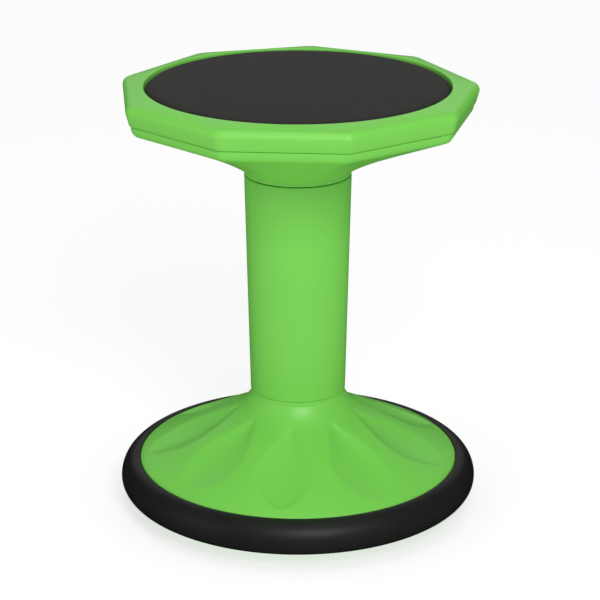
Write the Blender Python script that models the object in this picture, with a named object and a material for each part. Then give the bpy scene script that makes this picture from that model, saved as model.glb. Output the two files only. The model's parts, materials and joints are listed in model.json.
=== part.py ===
"""Children's wobble stool: nine-sided padded seat, screw-lift column, fluted rocking base.

Run with: blender --background --python part.py
Metres, +Z up. The origin is on the column's axis at the floor, and the front is -Y.
The stool is modelled at its lowest setting. Turning the seat screws the post up out of
the lift nut, and the guide puck under the post slides up the column's ribs with it.
"""

from math import atan2, cos, pi, radians, sin, sqrt

import bmesh
import bpy
from mathutils import Matrix, Vector

# ---------------------------------------------------------------- driving dimensions
GAP = 0.0003  # between pieces that touch on the real stool
SCREW_CLEARANCE = 0.0003  # round every shank
CUT = 0.010  # cutters run past a face by this

# Seat outline and heights
SEAT_HEIGHT = 0.385  # rim above the floor, lowest setting
SEAT_SIDES = 9
SEAT_TURN = radians(85.6)  # direction of the corner at the back
SEAT_RADIUS = 0.1585  # axis to a corner of the upper shell
SEAT_CORNER = 0.012  # corner rounding
SEAT_DEPTH = 0.0795  # rim down to the column's top
RIM_WIDTH = 0.0175  # pad's edge to the middle of a side
RIM_ROUND = 0.007  # round-over of the rim's top edge
RIM_FALL = 0.0023  # the rim's top leans outward by this
UPPER_DEPTH = 0.0203  # rim down to the parting groove
UPPER_DRAFT = 0.0030  # how far the upper wall leans in over its depth
LOWER_STEP = 0.0014  # the lower shell's wall is set in by this
LOWER_DEPTH = 0.0095  # parting groove down to the underside's edge
LOWER_DRAFT = 0.0050  # the lower shell's edge is tucked in by this
UNDERSIDE_CONE = 0.0395  # rise that the underside makes evenly from neck to edge
UNDERSIDE_POWER = 6.0  # how soon the rest of its rise is made
SHELL_WALL = 0.0032
SHELL_SCREW_INSET = 0.0194  # pad's edge in to the screw circle
SHELL_SCREW_DEPTH = 0.0110  # below the recess floor's wall
SHELL_SCREW_SINK = 0.0012  # heads sunk into the recess floor

# Pad and its recess
PAD_GAP = 0.0008  # visible gap round the pad
PAD_STACK = 0.0157  # recess depth
PAD_CROWN = 0.0015
PAD_EDGE_ROUND = 0.0022
PAD_COVER_WALL = 0.0012
PAD_HEM = 0.013
PAD_BOARD = 0.0040
PAD_SCREWS = 4
PAD_SCREW_BITE = 0.0025  # into the board
FLOOR_CAP_RADIUS = 0.030  # the recess floor's middle face

# Column and neck
COLUMN_TOP_RADIUS = 0.0468
COLUMN_FOOT_RADIUS = 0.0423
COLUMN_FOOT = 0.1073  # where the column meets the base
COLUMN_WALL = 0.0035
NECK_GAP = 0.0008
NECK_STRAIGHT = 0.0035  # height of the neck's straight part
SOCKET_DEPTH = 0.0390  # how deep the column's spigot sits in the base
SPIGOT_STEP = 0.0041  # the spigot is narrower than the column's foot by this
SPIGOT_SHOULDER = 0.0060  # the bore narrows from here above the foot
SPIGOT_SHOULDER_FOOT = 0.0020  # down to here
COLUMN_RIBS = 4
RIB_WIDTH = 0.0070
RIB_DEPTH = 0.0022  # least depth, at the column's foot
RIB_CLEARANCE = 0.0007  # thread's crest to the ribs
EDGE_BREAK = 0.0006
COLUMN_FLOOR = 0.0040
COLUMN_FLOOR_HOLE = 0.0240
COLUMN_SCREWS = 4
COLUMN_SCREW_BITE = 0.0030  # past the column's floor

# Screw lift
TRAVEL = 0.100
LEAD = 0.0200  # rise for one turn of the seat
THREAD_DEPTH = 0.0032
THREAD_CLEARANCE = 0.0005
CREST_SHARE = 0.30  # of the lead that the crest takes
FLANK_SHARE = 0.12  # of the lead that each flank takes
POST_WALL = 0.0043
POST_END_WALL = 0.0060
POST_FLANGE = 0.0050
POST_FLANGE_MARGIN = 0.0080  # screw circle out to the flange's edge
POST_FLANGE_HEIGHT = 0.0290  # neck's lower edge up to the flange
POST_SCREWS = 6
POST_SCREW_REACH = 0.0092  # neck's outside out to the screw circle
POST_SCREW_DEPTH = 0.0090
NUT_HEIGHT = 0.0367
NUT_WALL = 0.0057  # least wall round the thread
NUT_CLEARANCE = 0.0006  # inside the column
NUT_FLANGE = 0.0045
NUT_RECESS = 0.0040  # nut's top below the column's top
NUT_SCREW_BITE = 0.0090  # into the ribs
PUCK_HEIGHT = 0.0130
PUCK_SIDE_CLEARANCE = 0.0007
PUCK_EDGE = 0.0010
PUCK_STOP_GAP = 0.0008  # left under the nut at full height
PUCK_CLEARANCE = 0.0004
BOLT_RADIUS = 0.0040
BOLT_HEAD_RADIUS = 0.0070
BOLT_HEAD = 0.0050
BOLT_HEAD_EDGE = 0.0010
BOLT_REACH = 0.0100  # above the post's end wall
BOLT_NUT = 0.0065
WASHER_RADIUS = 0.0130
WASHER = 0.0020

# Base
RING_RADIUS = 0.160
RING_BULGE_HEIGHT = 0.0245  # widest point of the ring above the floor
RING_TOP = 0.0427
RING_BOTTOM = 0.0120  # clear of the floor, so that the stool can rock
RING_LIP = 0.0033
RING_WIDTH = 0.0175  # widest point in to the green base
RING_UNDER_ROUND = 0.0130
RING_EDGE = 0.0012
BASE_WALL = 0.0032
COLLAR_STEP = 0.0004  # the base's collar is narrower than the column's foot by this
COLLAR_HEIGHT = 0.0040  # the collar's straight part
SKIRT_STEP = 0.0010  # dome's edge down to the ring's inner edge
DOME_EDGE_SLOPE = 0.50
DOME_POWER = 16.0  # how soon the flare under the collar dies away
FLUTES = 9
FLUTE_TURN = radians(263.5)  # direction of the flute at the front
FLUTE_HALF_ANGLE = radians(14.5)
FLUTE_DEPTH = 0.0060
FLUTE_FULLNESS = 0.7  # lower is blunter at the tips
FLUTE_START = 0.105  # share of the way from the collar to the edge
FLUTE_END = 0.94
ROCKER_FLAT = 0.0280  # radius of the flat that stands on the floor
ROCKER_POWER = 1.6
ROCKER_WALL = 0.0032
ROCKER_SCREWS = FLUTES  # one between each two flutes
ROCKER_SCREW_INSET = 0.0245  # base's edge in to the screw circle
ROCKER_SCREW_DEPTH = 0.0120
ROCKER_SCREW_SINK = 0.0018  # heads sunk into the plate
BOSS_RADIUS = 0.0050
BOSS_GAP = 0.0010  # bosses stop above the rocker plate

# Screws: shank radius, head radius, head height
SCREW_SHANK = 0.0017
SCREW_HEAD = 0.0036
SCREW_HEAD_HEIGHT = 0.0024
NUT_SCREW_SHANK = 0.0011
NUT_SCREW_HEAD = 0.0020
NUT_SCREW_HEAD_HEIGHT = 0.0016

# Mesh fineness
ROUND = 32
THREAD_STEPS = 24
HOLE_STEPS = 8
SCREW_STEPS = 6
SIDE_COLUMNS = 5  # angular steps for each side of the seat
FLUTE_COLUMNS = 5  # angular steps for each flute

# ---------------------------------------------------------------- worked-out places
COLUMN_TOP = SEAT_HEIGHT - SEAT_DEPTH
PAD_RADIUS = SEAT_RADIUS * cos(pi / SEAT_SIDES) - RIM_WIDTH
PARTING = SEAT_HEIGHT - UPPER_DEPTH
PARTING_CORNER = SEAT_RADIUS - UPPER_DRAFT
LOWER_CORNER = PARTING_CORNER - LOWER_STEP
EDGE_CORNER = LOWER_CORNER - LOWER_DRAFT
UNDERSIDE_EDGE = PARTING - LOWER_DEPTH
RECESS_FLOOR = SEAT_HEIGHT - PAD_STACK
RECESS_RADIUS = PAD_RADIUS + PAD_GAP
RECESS_UNDERSIDE = RECESS_FLOOR - SHELL_WALL
NECK_FOOT = COLUMN_TOP + NECK_GAP
NECK_TOP = NECK_FOOT + NECK_STRAIGHT
FLANGE_BOTTOM = NECK_FOOT + POST_FLANGE_HEIGHT
FLANGE_TOP = FLANGE_BOTTOM + POST_FLANGE
POST_SCREW_CIRCLE = COLUMN_TOP_RADIUS + POST_SCREW_REACH
POST_FLANGE_RADIUS = POST_SCREW_CIRCLE + POST_FLANGE_MARGIN
SHELL_SCREW_CIRCLE = PAD_RADIUS - SHELL_SCREW_INSET
PAD_SCREW_CIRCLE = 0.5 * (POST_FLANGE_RADIUS + SHELL_SCREW_CIRCLE)
PAD_SCREW_TURN = pi / 4
SPIGOT_BOTTOM = COLUMN_FOOT - SOCKET_DEPTH
SPIGOT_RADIUS = COLUMN_FOOT_RADIUS - SPIGOT_STEP
SPIGOT_BORE = SPIGOT_RADIUS - COLUMN_WALL
FOOT_BORE = COLUMN_FOOT_RADIUS - COLLAR_STEP - COLUMN_WALL
TOP_BORE = COLUMN_TOP_RADIUS - COLUMN_WALL
COLUMN_SCREW_CIRCLE = 0.5 * (COLUMN_FLOOR_HOLE + SPIGOT_BORE)
COLUMN_SCREW_TURN = pi / 4
NUT_TOP = COLUMN_TOP - NUT_RECESS
NUT_BOTTOM = NUT_TOP - NUT_HEIGHT
RIB_TOP = NUT_BOTTOM - GAP
PUCK_TOP = NUT_BOTTOM - PUCK_STOP_GAP - TRAVEL
PUCK_BOTTOM = PUCK_TOP - PUCK_HEIGHT
POST_BOTTOM = PUCK_TOP + PUCK_CLEARANCE
POST_END_TOP = POST_BOTTOM + POST_END_WALL


def column_bore(height):
    """Inside radius of the column at a height."""
    share = (height - COLUMN_FOOT) / (COLUMN_TOP - COLUMN_FOOT)
    return FOOT_BORE + (TOP_BORE - FOOT_BORE) * max(share, 0.0)


def narrowest_bore(low, high):
    """Least inside radius of the column between two heights, whichever way it tapers."""
    return min(column_bore(low), column_bore(high))


NUT_RADIUS = narrowest_bore(NUT_BOTTOM, NUT_TOP) - NUT_CLEARANCE
NUT_FLANGE_RADIUS = narrowest_bore(NUT_TOP - NUT_FLANGE, NUT_TOP) - NUT_CLEARANCE
PUCK_RADIUS = narrowest_bore(PUCK_BOTTOM, NUT_BOTTOM) - PUCK_SIDE_CLEARANCE
THREAD_CREST = min(FOOT_BORE - RIB_DEPTH - RIB_CLEARANCE, NUT_RADIUS - NUT_WALL - THREAD_CLEARANCE)
THREAD_ROOT = THREAD_CREST - THREAD_DEPTH
POST_BORE = THREAD_ROOT - POST_WALL
RIB_INNER = THREAD_CREST + RIB_CLEARANCE
NUT_SCREW_CIRCLE = 0.5 * (THREAD_CREST + THREAD_CLEARANCE + NUT_RADIUS)
SOCKET_RADIUS = SPIGOT_RADIUS + GAP
SOCKET_FLOOR = SPIGOT_BOTTOM - GAP
BASE_EDGE_RADIUS = RING_RADIUS - RING_WIDTH
SKIRT_BOTTOM = RING_BOTTOM + RING_LIP + GAP
ROCKER_RADIUS = BASE_EDGE_RADIUS - BASE_WALL - GAP
ROCKER_SCREW_CIRCLE = BASE_EDGE_RADIUS - ROCKER_SCREW_INSET
ROCKER_SCREW_TURN = FLUTE_TURN + pi / FLUTES
COLLAR_RADIUS = COLUMN_FOOT_RADIUS - COLLAR_STEP
COLLAR_TOP = COLUMN_FOOT - GAP
DOME_TOP = COLLAR_TOP - COLLAR_HEIGHT


# ---------------------------------------------------------------- materials
def plastic(name, color, roughness, metallic=0.0):
    """A Principled material with one colour."""
    material = bpy.data.materials.new(name)
    material.use_nodes = True
    shader = material.node_tree.nodes["Principled BSDF"]
    shader.inputs["Base Color"].default_value = (*color, 1.0)
    shader.inputs["Roughness"].default_value = roughness
    shader.inputs["Metallic"].default_value = metallic
    return material


# ---------------------------------------------------------------- shape helpers
def as_object(name, bm, material, parent=None, location=(0.0, 0.0, 0.0)):
    """Turns a bmesh into a smooth-shaded object on a parent."""
    bmesh.ops.recalc_face_normals(bm, faces=bm.faces)
    mesh = bpy.data.meshes.new(name)
    bm.to_mesh(mesh)
    bm.free()
    mesh.shade_smooth()
    mesh.set_sharp_from_angle(angle=radians(35))
    mesh.materials.append(material)
    return placed(name, mesh, parent, location)


def placed(name, mesh, parent=None, location=(0.0, 0.0, 0.0), flipped=False):
    """An object of this mesh at a place, upside down if flipped."""
    obj = bpy.data.objects.new(name, mesh)
    bpy.context.collection.objects.link(obj)
    obj.parent = parent
    obj.location = location
    obj.rotation_euler = (pi if flipped else 0.0, 0.0, 0.0)
    return obj


def circle_spots(count, radius, height, turn=0.0):
    """Evenly spaced points on a circle about the axis."""
    return [
        Vector((radius * cos(turn + 2 * pi * i / count), radius * sin(turn + 2 * pi * i / count), height))
        for i in range(count)
    ]


def arc(centre, radius, start, end, steps):
    """Points of a circular arc in the (radius, height) plane, angles in degrees."""
    return [
        (centre[0] + radius * cos(radians(start + (end - start) * i / steps)),
         centre[1] + radius * sin(radians(start + (end - start) * i / steps)))
        for i in range(steps + 1)
    ]


def spun(profile, steps=ROUND):
    """A bmesh turned about Z from a (radius, height) outline.

    An outline that starts and ends on the axis is left open there, any other is closed.
    """
    bm = bmesh.new()
    verts = [bm.verts.new((r, 0.0, z)) for r, z in profile]
    pairs = list(zip(verts, verts[1:]))
    if profile[0][0] > 0:
        pairs.append((verts[-1], verts[0]))
    edges = [bm.edges.new(pair) for pair in pairs]
    bmesh.ops.spin(
        bm, geom=verts + edges, axis=(0, 0, 1), cent=(0, 0, 0), steps=steps, angle=2 * pi, use_merge=True
    )
    bmesh.ops.remove_doubles(bm, verts=bm.verts, dist=1e-6)
    return bm


def lofted(rings, closed=False):
    """A bmesh skinned over rings of equally many points, capped at both ends unless closed."""
    bm = bmesh.new()
    rows = [[bm.verts.new(point) for point in ring] for ring in rings]
    count = len(rows[0])
    pairs = list(zip(rows, rows[1:]))
    if closed:
        pairs.append((rows[-1], rows[0]))
    for low, high in pairs:
        for i in range(count):
            j = (i + 1) % count
            bm.faces.new((low[i], low[j], high[j], high[i]))
    if not closed:
        bm.faces.new(rows[0])
        bm.faces.new(rows[-1])
    return bm


def rods(name, spots, radius, low, high, steps=HOLE_STEPS):
    """A helper object of upright cylinders at these spots."""
    bm = bmesh.new()
    for spot in spots:
        middle = Matrix.Translation((spot.x, spot.y, (low + high) / 2))
        bmesh.ops.create_cone(
            bm, cap_ends=True, segments=steps, radius1=radius, radius2=radius, depth=high - low, matrix=middle
        )
    mesh = bpy.data.meshes.new(name)
    bm.to_mesh(mesh)
    bm.free()
    return placed(name, mesh)


def combine(obj, helper, operation):
    """Adds or cuts a helper with an exact Boolean, and hides the helper."""
    modifier = obj.modifiers.new(f"{operation.lower()}_{helper.name}", "BOOLEAN")
    modifier.operation = operation
    modifier.object = helper
    modifier.solver = "EXACT"
    helper.hide_render = True
    helper.display_type = "WIRE"


def screw_mesh(name, shank, head, head_height, length, material):
    """A pan-head screw, its head's underside at the local origin and its point down."""
    profile = [
        (0.0, -length),
        (shank, -length + 1.5 * shank),
        (shank, 0.0),
        (head, 0.0),
        (0.7 * head, head_height),
        (0.0, head_height),
    ]
    obj = as_object(name, spun(profile, SCREW_STEPS), material)
    mesh = obj.data
    bpy.data.objects.remove(obj)
    return mesh


# ---------------------------------------------------------------- seat outline
def seat_angles():
    """Angles of the seat's mesh columns: a short flat across each corner, then even steps."""
    side = 2 * pi / SEAT_SIDES
    flat = radians(1.6)
    shares = [flat + (side - 2 * flat) * i / (SIDE_COLUMNS - 1) for i in range(SIDE_COLUMNS)]
    return [SEAT_TURN + side * k + share for k in range(SEAT_SIDES) for share in shares]


def polygon_radius(angle, corner_radius):
    """Distance from the axis to the seat's rounded outline in this direction."""
    half = pi / SEAT_SIDES
    offset = (angle - SEAT_TURN) % (2 * half)
    from_corner = min(offset, 2 * half - offset)
    apothem = corner_radius * cos(half)
    straight = apothem / cos(half - from_corner)
    centre = corner_radius - SEAT_CORNER / cos(half)
    reach = SEAT_CORNER**2 - (centre * sin(from_corner)) ** 2
    if centre * sin(from_corner) > SEAT_CORNER * sin(half) or reach < 0:
        return straight
    rounded = centre * cos(from_corner) + sqrt(reach)
    return min(straight, rounded)


def seat_ring(corner_radius, height):
    """A ring of the nine-sided outline."""
    return [
        Vector((polygon_radius(a, corner_radius) * cos(a), polygon_radius(a, corner_radius) * sin(a), height))
        for a in seat_angles()
    ]


def round_ring(radius, height):
    """A round ring on the seat's mesh columns."""
    return [Vector((radius * cos(a), radius * sin(a), height)) for a in seat_angles()]


def between(inner, outer, share):
    """Points part of the way from one ring to another, seen from above."""
    return [a.lerp(b, share) for a, b in zip(inner, outer)]


def underside_height(share):
    """Height of the trumpet-shaped underside, from the neck at 0 to the edge at 1."""
    curved = UNDERSIDE_EDGE - NECK_TOP - UNDERSIDE_CONE
    return NECK_TOP + UNDERSIDE_CONE * share + curved * (1 - (1 - share) ** UNDERSIDE_POWER)


def underside_ring(share, wall=0.0):
    """A ring of the underside, raised by a wall for the inner face."""
    inner = round_ring(COLUMN_TOP_RADIUS, 0.0)
    outer = seat_ring(EDGE_CORNER, 0.0)
    ring = between(inner, outer, share)
    slope = (underside_height(min(share + 0.02, 1.0)) - underside_height(max(share - 0.02, 0.0))) / 0.04
    run = SEAT_RADIUS - COLUMN_TOP_RADIUS
    lift = wall * sqrt(1 + min(slope / run, 1.5) ** 2)
    return [Vector((p.x, p.y, underside_height(share) + lift)) for p in ring]


# ---------------------------------------------------------------- seat pieces
def seat_top_shell(material, parent):
    """Upper shell: rim with a round recess, and an outer wall down to the parting groove."""
    top = SEAT_HEIGHT
    rings = [round_ring(FLOOR_CAP_RADIUS, RECESS_FLOOR), round_ring(RECESS_RADIUS, RECESS_FLOOR)]
    rings += [round_ring(RECESS_RADIUS, top - 0.001), round_ring(RECESS_RADIUS + 0.001, top)]
    edge = top - RIM_FALL
    for r, z in arc((SEAT_RADIUS - RIM_ROUND, edge - RIM_ROUND), RIM_ROUND, 78, 0, 3):
        rings.append(seat_ring(r, z))
    for corner in (PARTING_CORNER, PARTING_CORNER - SHELL_WALL):
        rings.append(seat_ring(corner, PARTING + GAP))
    rings += [seat_ring(SEAT_RADIUS - SHELL_WALL - 0.002, edge - SHELL_WALL - 0.002)]
    rings += [seat_ring(SEAT_RADIUS - RIM_ROUND, edge - SHELL_WALL)]
    rings += [round_ring(RECESS_RADIUS + SHELL_WALL, top - SHELL_WALL)]
    rings += [round_ring(RECESS_RADIUS + SHELL_WALL, RECESS_UNDERSIDE)]
    rings += [round_ring(FLOOR_CAP_RADIUS, RECESS_UNDERSIDE)]
    shell = as_object("seat_top_shell", lofted(rings), material, parent)
    shell_spots = circle_spots(SEAT_SIDES, SHELL_SCREW_CIRCLE, 0.0, SEAT_TURN)
    holes = shell_spots + circle_spots(PAD_SCREWS, PAD_SCREW_CIRCLE, 0.0, PAD_SCREW_TURN)
    hole_radius = SCREW_SHANK + SCREW_CLEARANCE
    cutter = rods("seat_top_holes", holes, hole_radius, RECESS_UNDERSIDE - CUT, RECESS_FLOOR + CUT)
    combine(shell, cutter, "DIFFERENCE")
    head_radius = SCREW_HEAD + SCREW_CLEARANCE
    low = RECESS_FLOOR - SHELL_SCREW_SINK - GAP
    combine(shell, rods("seat_top_sinks", shell_spots, head_radius, low, RECESS_FLOOR + CUT), "DIFFERENCE")
    return shell


def seat_lower_shell(material, parent):
    """Lower shell: a short wall under the groove, a trumpet underside and the neck."""
    shares = [0.75, 0.5, 0.32, 0.2, 0.12, 0.05]
    rings = [seat_ring(LOWER_CORNER, PARTING - GAP)]
    for drop, tuck in ((0.4, 0.12), (0.8, 0.44), (1.0, 1.0)):
        rings.append(seat_ring(LOWER_CORNER - tuck * LOWER_DRAFT, PARTING - drop * LOWER_DEPTH))
    rings += [underside_ring(share) for share in shares]
    rings += [round_ring(COLUMN_TOP_RADIUS, NECK_TOP), round_ring(COLUMN_TOP_RADIUS, NECK_FOOT)]
    rings += [round_ring(TOP_BORE, NECK_FOOT), round_ring(TOP_BORE, NECK_TOP + 0.5 * SHELL_WALL)]
    rings += [underside_ring(share, SHELL_WALL) for share in reversed(shares[::2])]
    rings += [seat_ring(EDGE_CORNER - SHELL_WALL, UNDERSIDE_EDGE + SHELL_WALL)]
    rings += [seat_ring(LOWER_CORNER - SHELL_WALL, PARTING - GAP)]
    shell = as_object("seat_lower_shell", lofted(rings, closed=True), material, parent)
    boss_spots = circle_spots(SEAT_SIDES, SHELL_SCREW_CIRCLE, 0.0, SEAT_TURN)
    flange_spots = circle_spots(POST_SCREWS, POST_SCREW_CIRCLE, 0.0)
    seat_floor = floor_under(SHELL_SCREW_CIRCLE, SEAT_TURN)
    flange_floor = floor_under(POST_SCREW_CIRCLE, SEAT_TURN + pi / SEAT_SIDES)
    combine(shell, rods("seat_bosses", boss_spots, BOSS_RADIUS, seat_floor, RECESS_UNDERSIDE - GAP), "UNION")
    bosses = rods("flange_bosses", flange_spots, BOSS_RADIUS, flange_floor, FLANGE_BOTTOM - GAP)
    combine(shell, bosses, "UNION")
    pilot = SCREW_SHANK + SCREW_CLEARANCE
    low = RECESS_UNDERSIDE - SHELL_SCREW_DEPTH
    combine(shell, rods("seat_pilots", boss_spots, pilot, low, RECESS_UNDERSIDE + CUT), "DIFFERENCE")
    low = FLANGE_BOTTOM - POST_SCREW_DEPTH
    combine(shell, rods("flange_pilots", flange_spots, pilot, low, FLANGE_BOTTOM + CUT), "DIFFERENCE")
    return shell


def floor_under(radius, angle):
    """Height inside the underside's wall where a boss at this place can start."""
    edge = polygon_radius(angle, EDGE_CORNER)
    share = (radius + BOSS_RADIUS - COLUMN_TOP_RADIUS) / (edge - COLUMN_TOP_RADIUS)
    return underside_height(share) + 0.3 * SHELL_WALL


def pad_pieces(materials, parent):
    """Board, foam and cover of the round pad."""
    cover_bottom = RECESS_FLOOR + GAP
    board_bottom = cover_bottom + PAD_COVER_WALL + GAP
    board_top = board_bottom + PAD_BOARD
    core_radius = PAD_RADIUS - PAD_COVER_WALL - GAP
    top = SEAT_HEIGHT
    inner_top = top - PAD_COVER_WALL
    board = as_object(
        "pad_board",
        spun([(0.0, board_bottom), (core_radius, board_bottom), (core_radius, board_top), (0.0, board_top)]),
        materials["board"],
        parent,
    )
    spots = circle_spots(PAD_SCREWS, PAD_SCREW_CIRCLE, 0.0, PAD_SCREW_TURN)
    hole_top = board_bottom + PAD_SCREW_BITE + 2 * GAP
    pilots = rods("board_pilots", spots, SCREW_SHANK + SCREW_CLEARANCE, board_bottom - CUT, hole_top)
    combine(board, pilots, "DIFFERENCE")
    foam_bottom = board_top + GAP
    foam_top = inner_top - GAP
    as_object(
        "pad_foam",
        spun([
            (0.0, foam_bottom),
            (core_radius, foam_bottom),
            (core_radius, foam_top - PAD_EDGE_ROUND),
            (core_radius - PAD_EDGE_ROUND, foam_top),
            (0.5 * PAD_RADIUS, foam_top + 0.75 * PAD_CROWN),
            (0.0, foam_top + PAD_CROWN),
        ]),
        materials["foam"],
        parent,
    )
    edge = arc((PAD_RADIUS - PAD_EDGE_ROUND, top - PAD_EDGE_ROUND), PAD_EDGE_ROUND, 0, 90, 2)
    bore = PAD_RADIUS - PAD_COVER_WALL
    cover = [(0.0, top + PAD_CROWN), (0.5 * PAD_RADIUS, top + 0.75 * PAD_CROWN)] + edge[::-1]
    cover += [(PAD_RADIUS, cover_bottom), (PAD_RADIUS - PAD_HEM, cover_bottom)]
    cover += [(PAD_RADIUS - PAD_HEM, cover_bottom + PAD_COVER_WALL), (bore, cover_bottom + PAD_COVER_WALL)]
    cover += [(bore, inner_top - PAD_EDGE_ROUND), (bore - PAD_EDGE_ROUND, inner_top)]
    cover += [(0.5 * PAD_RADIUS, inner_top + 0.75 * PAD_CROWN), (0.0, inner_top + PAD_CROWN)]
    as_object("pad_cover", spun(cover), materials["pad"], parent)


# ---------------------------------------------------------------- screw lift
def thread_columns(root, crest, end, crest_share, low, high):
    """Columns of points up a threaded cylinder, one column for each step round the axis.

    Each column holds (angle, radius, height) and follows the helix. It is cut level at low
    and high, where the thread fades to the end radius.
    """
    corners = [0.0, FLANK_SHARE, FLANK_SHARE + crest_share, 2 * FLANK_SHARE + crest_share]
    levels = [root, crest, crest, root]
    first = int((low - LEAD) // LEAD) - 1
    last = int(high // LEAD) + 1
    fade = 0.35 * LEAD
    columns = []
    for step in range(THREAD_STEPS + 1):
        angle = 2 * pi * step / THREAD_STEPS
        column = []
        for turn in range(first, last + 1):
            for corner, level in zip(corners, levels):
                height = (turn + corner - 0.5 * (crest_share + 2 * FLANK_SHARE) + step / THREAD_STEPS) * LEAD
                height = min(max(height, low), high)
                strength = min(1.0, (height - low) / fade, (high - height) / fade)
                column.append((angle, end + (level - end) * max(strength, 0.0), height))
        columns.append(column)
    return columns


def threaded_skin(bm, root, crest, end, crest_share, low, high):
    """Adds a helical thread surface to a bmesh, with level round ends."""
    columns = thread_columns(root, crest, end, crest_share, low, high)
    rows = [[bm.verts.new((r * cos(a), r * sin(a), z)) for a, r, z in column] for column in columns]
    for left, right in zip(rows, rows[1:]):
        for k in range(len(left) - 1):
            bm.faces.new((left[k], right[k], right[k + 1], left[k + 1]))
    bmesh.ops.remove_doubles(bm, verts=bm.verts, dist=2e-6)
    bmesh.ops.dissolve_degenerate(bm, dist=1e-6, edges=bm.edges)


def open_loops(bm):
    """The open border edges of a bmesh, as the lower and the upper set."""
    border = [edge for edge in bm.edges if edge.is_boundary]
    middle = sum(edge.verts[0].co.z for edge in border) / len(border)
    low = [edge for edge in border if edge.verts[0].co.z < middle]
    return low, [edge for edge in border if edge.verts[0].co.z >= middle]


def extend(bm, edges, profile):
    """Carries an open round border through further (radius, height) rings, and returns its end."""
    for radius, height in profile:
        made = bmesh.ops.extrude_edge_only(bm, edges=edges)["geom"]
        for vert in [item for item in made if isinstance(item, bmesh.types.BMVert)]:
            angle = atan2(vert.co.y, vert.co.x)
            vert.co = (radius * cos(angle), radius * sin(angle), height)
        edges = [item for item in made if isinstance(item, bmesh.types.BMEdge) and item.is_boundary]
    return edges


def threaded_post(material, parent):
    """Hollow post: outside thread, end wall with a bolt hole, and a flange at the top."""
    bm = bmesh.new()
    threaded_skin(bm, THREAD_ROOT, THREAD_CREST, THREAD_ROOT, CREST_SHARE, POST_BOTTOM, NUT_TOP)
    low, high = open_loops(bm)
    hole = BOLT_RADIUS + PUCK_CLEARANCE
    inside = extend(bm, low, [(hole, POST_BOTTOM), (hole, POST_END_TOP), (POST_BORE, POST_END_TOP)])
    flange = [(THREAD_ROOT, FLANGE_BOTTOM), (POST_FLANGE_RADIUS, FLANGE_BOTTOM)]
    flange += [(POST_FLANGE_RADIUS, FLANGE_TOP), (POST_BORE, FLANGE_TOP)]
    outside = extend(bm, high, flange)
    bmesh.ops.bridge_loops(bm, edges=inside + outside)
    post = as_object("threaded_post", bm, material, parent)
    spots = circle_spots(POST_SCREWS, POST_SCREW_CIRCLE, 0.0)
    cutter = rods("flange_holes", spots, SCREW_SHANK + SCREW_CLEARANCE, FLANGE_BOTTOM - CUT, FLANGE_TOP + CUT)
    combine(post, cutter, "DIFFERENCE")
    return post


def lift_nut(material, parent):
    """Nut fixed in the column's mouth, threaded inside."""
    bm = bmesh.new()
    wide_crest = CREST_SHARE + 2 * THREAD_CLEARANCE / LEAD
    root = THREAD_ROOT + THREAD_CLEARANCE
    crest = THREAD_CREST + THREAD_CLEARANCE
    threaded_skin(bm, root, crest, crest, wide_crest, NUT_BOTTOM, NUT_TOP)
    low, high = open_loops(bm)
    flange_foot = NUT_TOP - NUT_FLANGE
    barrel = [(NUT_RADIUS, NUT_BOTTOM), (NUT_RADIUS, flange_foot), (NUT_FLANGE_RADIUS, flange_foot)]
    outside = extend(bm, low, barrel)
    rim = extend(bm, high, [(NUT_FLANGE_RADIUS, NUT_TOP)])
    bmesh.ops.bridge_loops(bm, edges=outside + rim)
    nut = as_object("lift_nut", bm, material, parent)
    spots = circle_spots(COLUMN_RIBS, NUT_SCREW_CIRCLE, 0.0)
    cutter = rods("nut_holes", spots, NUT_SCREW_SHANK + SCREW_CLEARANCE, NUT_BOTTOM - CUT, NUT_TOP + CUT)
    combine(nut, cutter, "DIFFERENCE")
    low = NUT_TOP - NUT_SCREW_HEAD_HEIGHT - GAP
    combine(nut, rods("nut_sinks", spots, NUT_SCREW_HEAD + SCREW_CLEARANCE, low, NUT_TOP + CUT), "DIFFERENCE")
    return nut


def guide_puck(material, parent):
    """Puck under the post, with slots that run on the column's ribs so that it can't turn."""
    hole = BOLT_RADIUS + PUCK_CLEARANCE
    broken = PUCK_RADIUS - PUCK_EDGE
    profile = [(hole, PUCK_BOTTOM), (broken, PUCK_BOTTOM), (PUCK_RADIUS, PUCK_BOTTOM + PUCK_EDGE)]
    profile += [(PUCK_RADIUS, PUCK_TOP - PUCK_EDGE), (broken, PUCK_TOP), (hole, PUCK_TOP)]
    puck = as_object("guide_puck", spun(profile), material, parent)
    inner = RIB_INNER - PUCK_CLEARANCE
    outer = PUCK_RADIUS + CUT
    width = RIB_WIDTH + 2 * PUCK_CLEARANCE
    slots = rib_bars("puck_slots", inner, outer, outer, width, PUCK_BOTTOM - CUT, PUCK_TOP + CUT)
    combine(puck, slots, "DIFFERENCE")
    return puck


def rib_bars(name, inner, outer_low, outer_high, width, low, high):
    """A helper object of upright bars round the axis, one for each rib, whose outer face may lean."""
    bm = bmesh.new()
    for i in range(COLUMN_RIBS):
        turn = Matrix.Rotation(2 * pi * i / COLUMN_RIBS, 4, "Z")
        bar = bmesh.ops.create_cube(bm, size=1.0)["verts"]
        for vert in bar:
            outer = outer_high if vert.co.z > 0 else outer_low
            reach = outer if vert.co.x > 0 else inner
            vert.co = turn @ Vector((reach, width * vert.co.y, high if vert.co.z > 0 else low))
    mesh = bpy.data.meshes.new(name)
    bm.to_mesh(mesh)
    bm.free()
    return placed(name, mesh)


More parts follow.
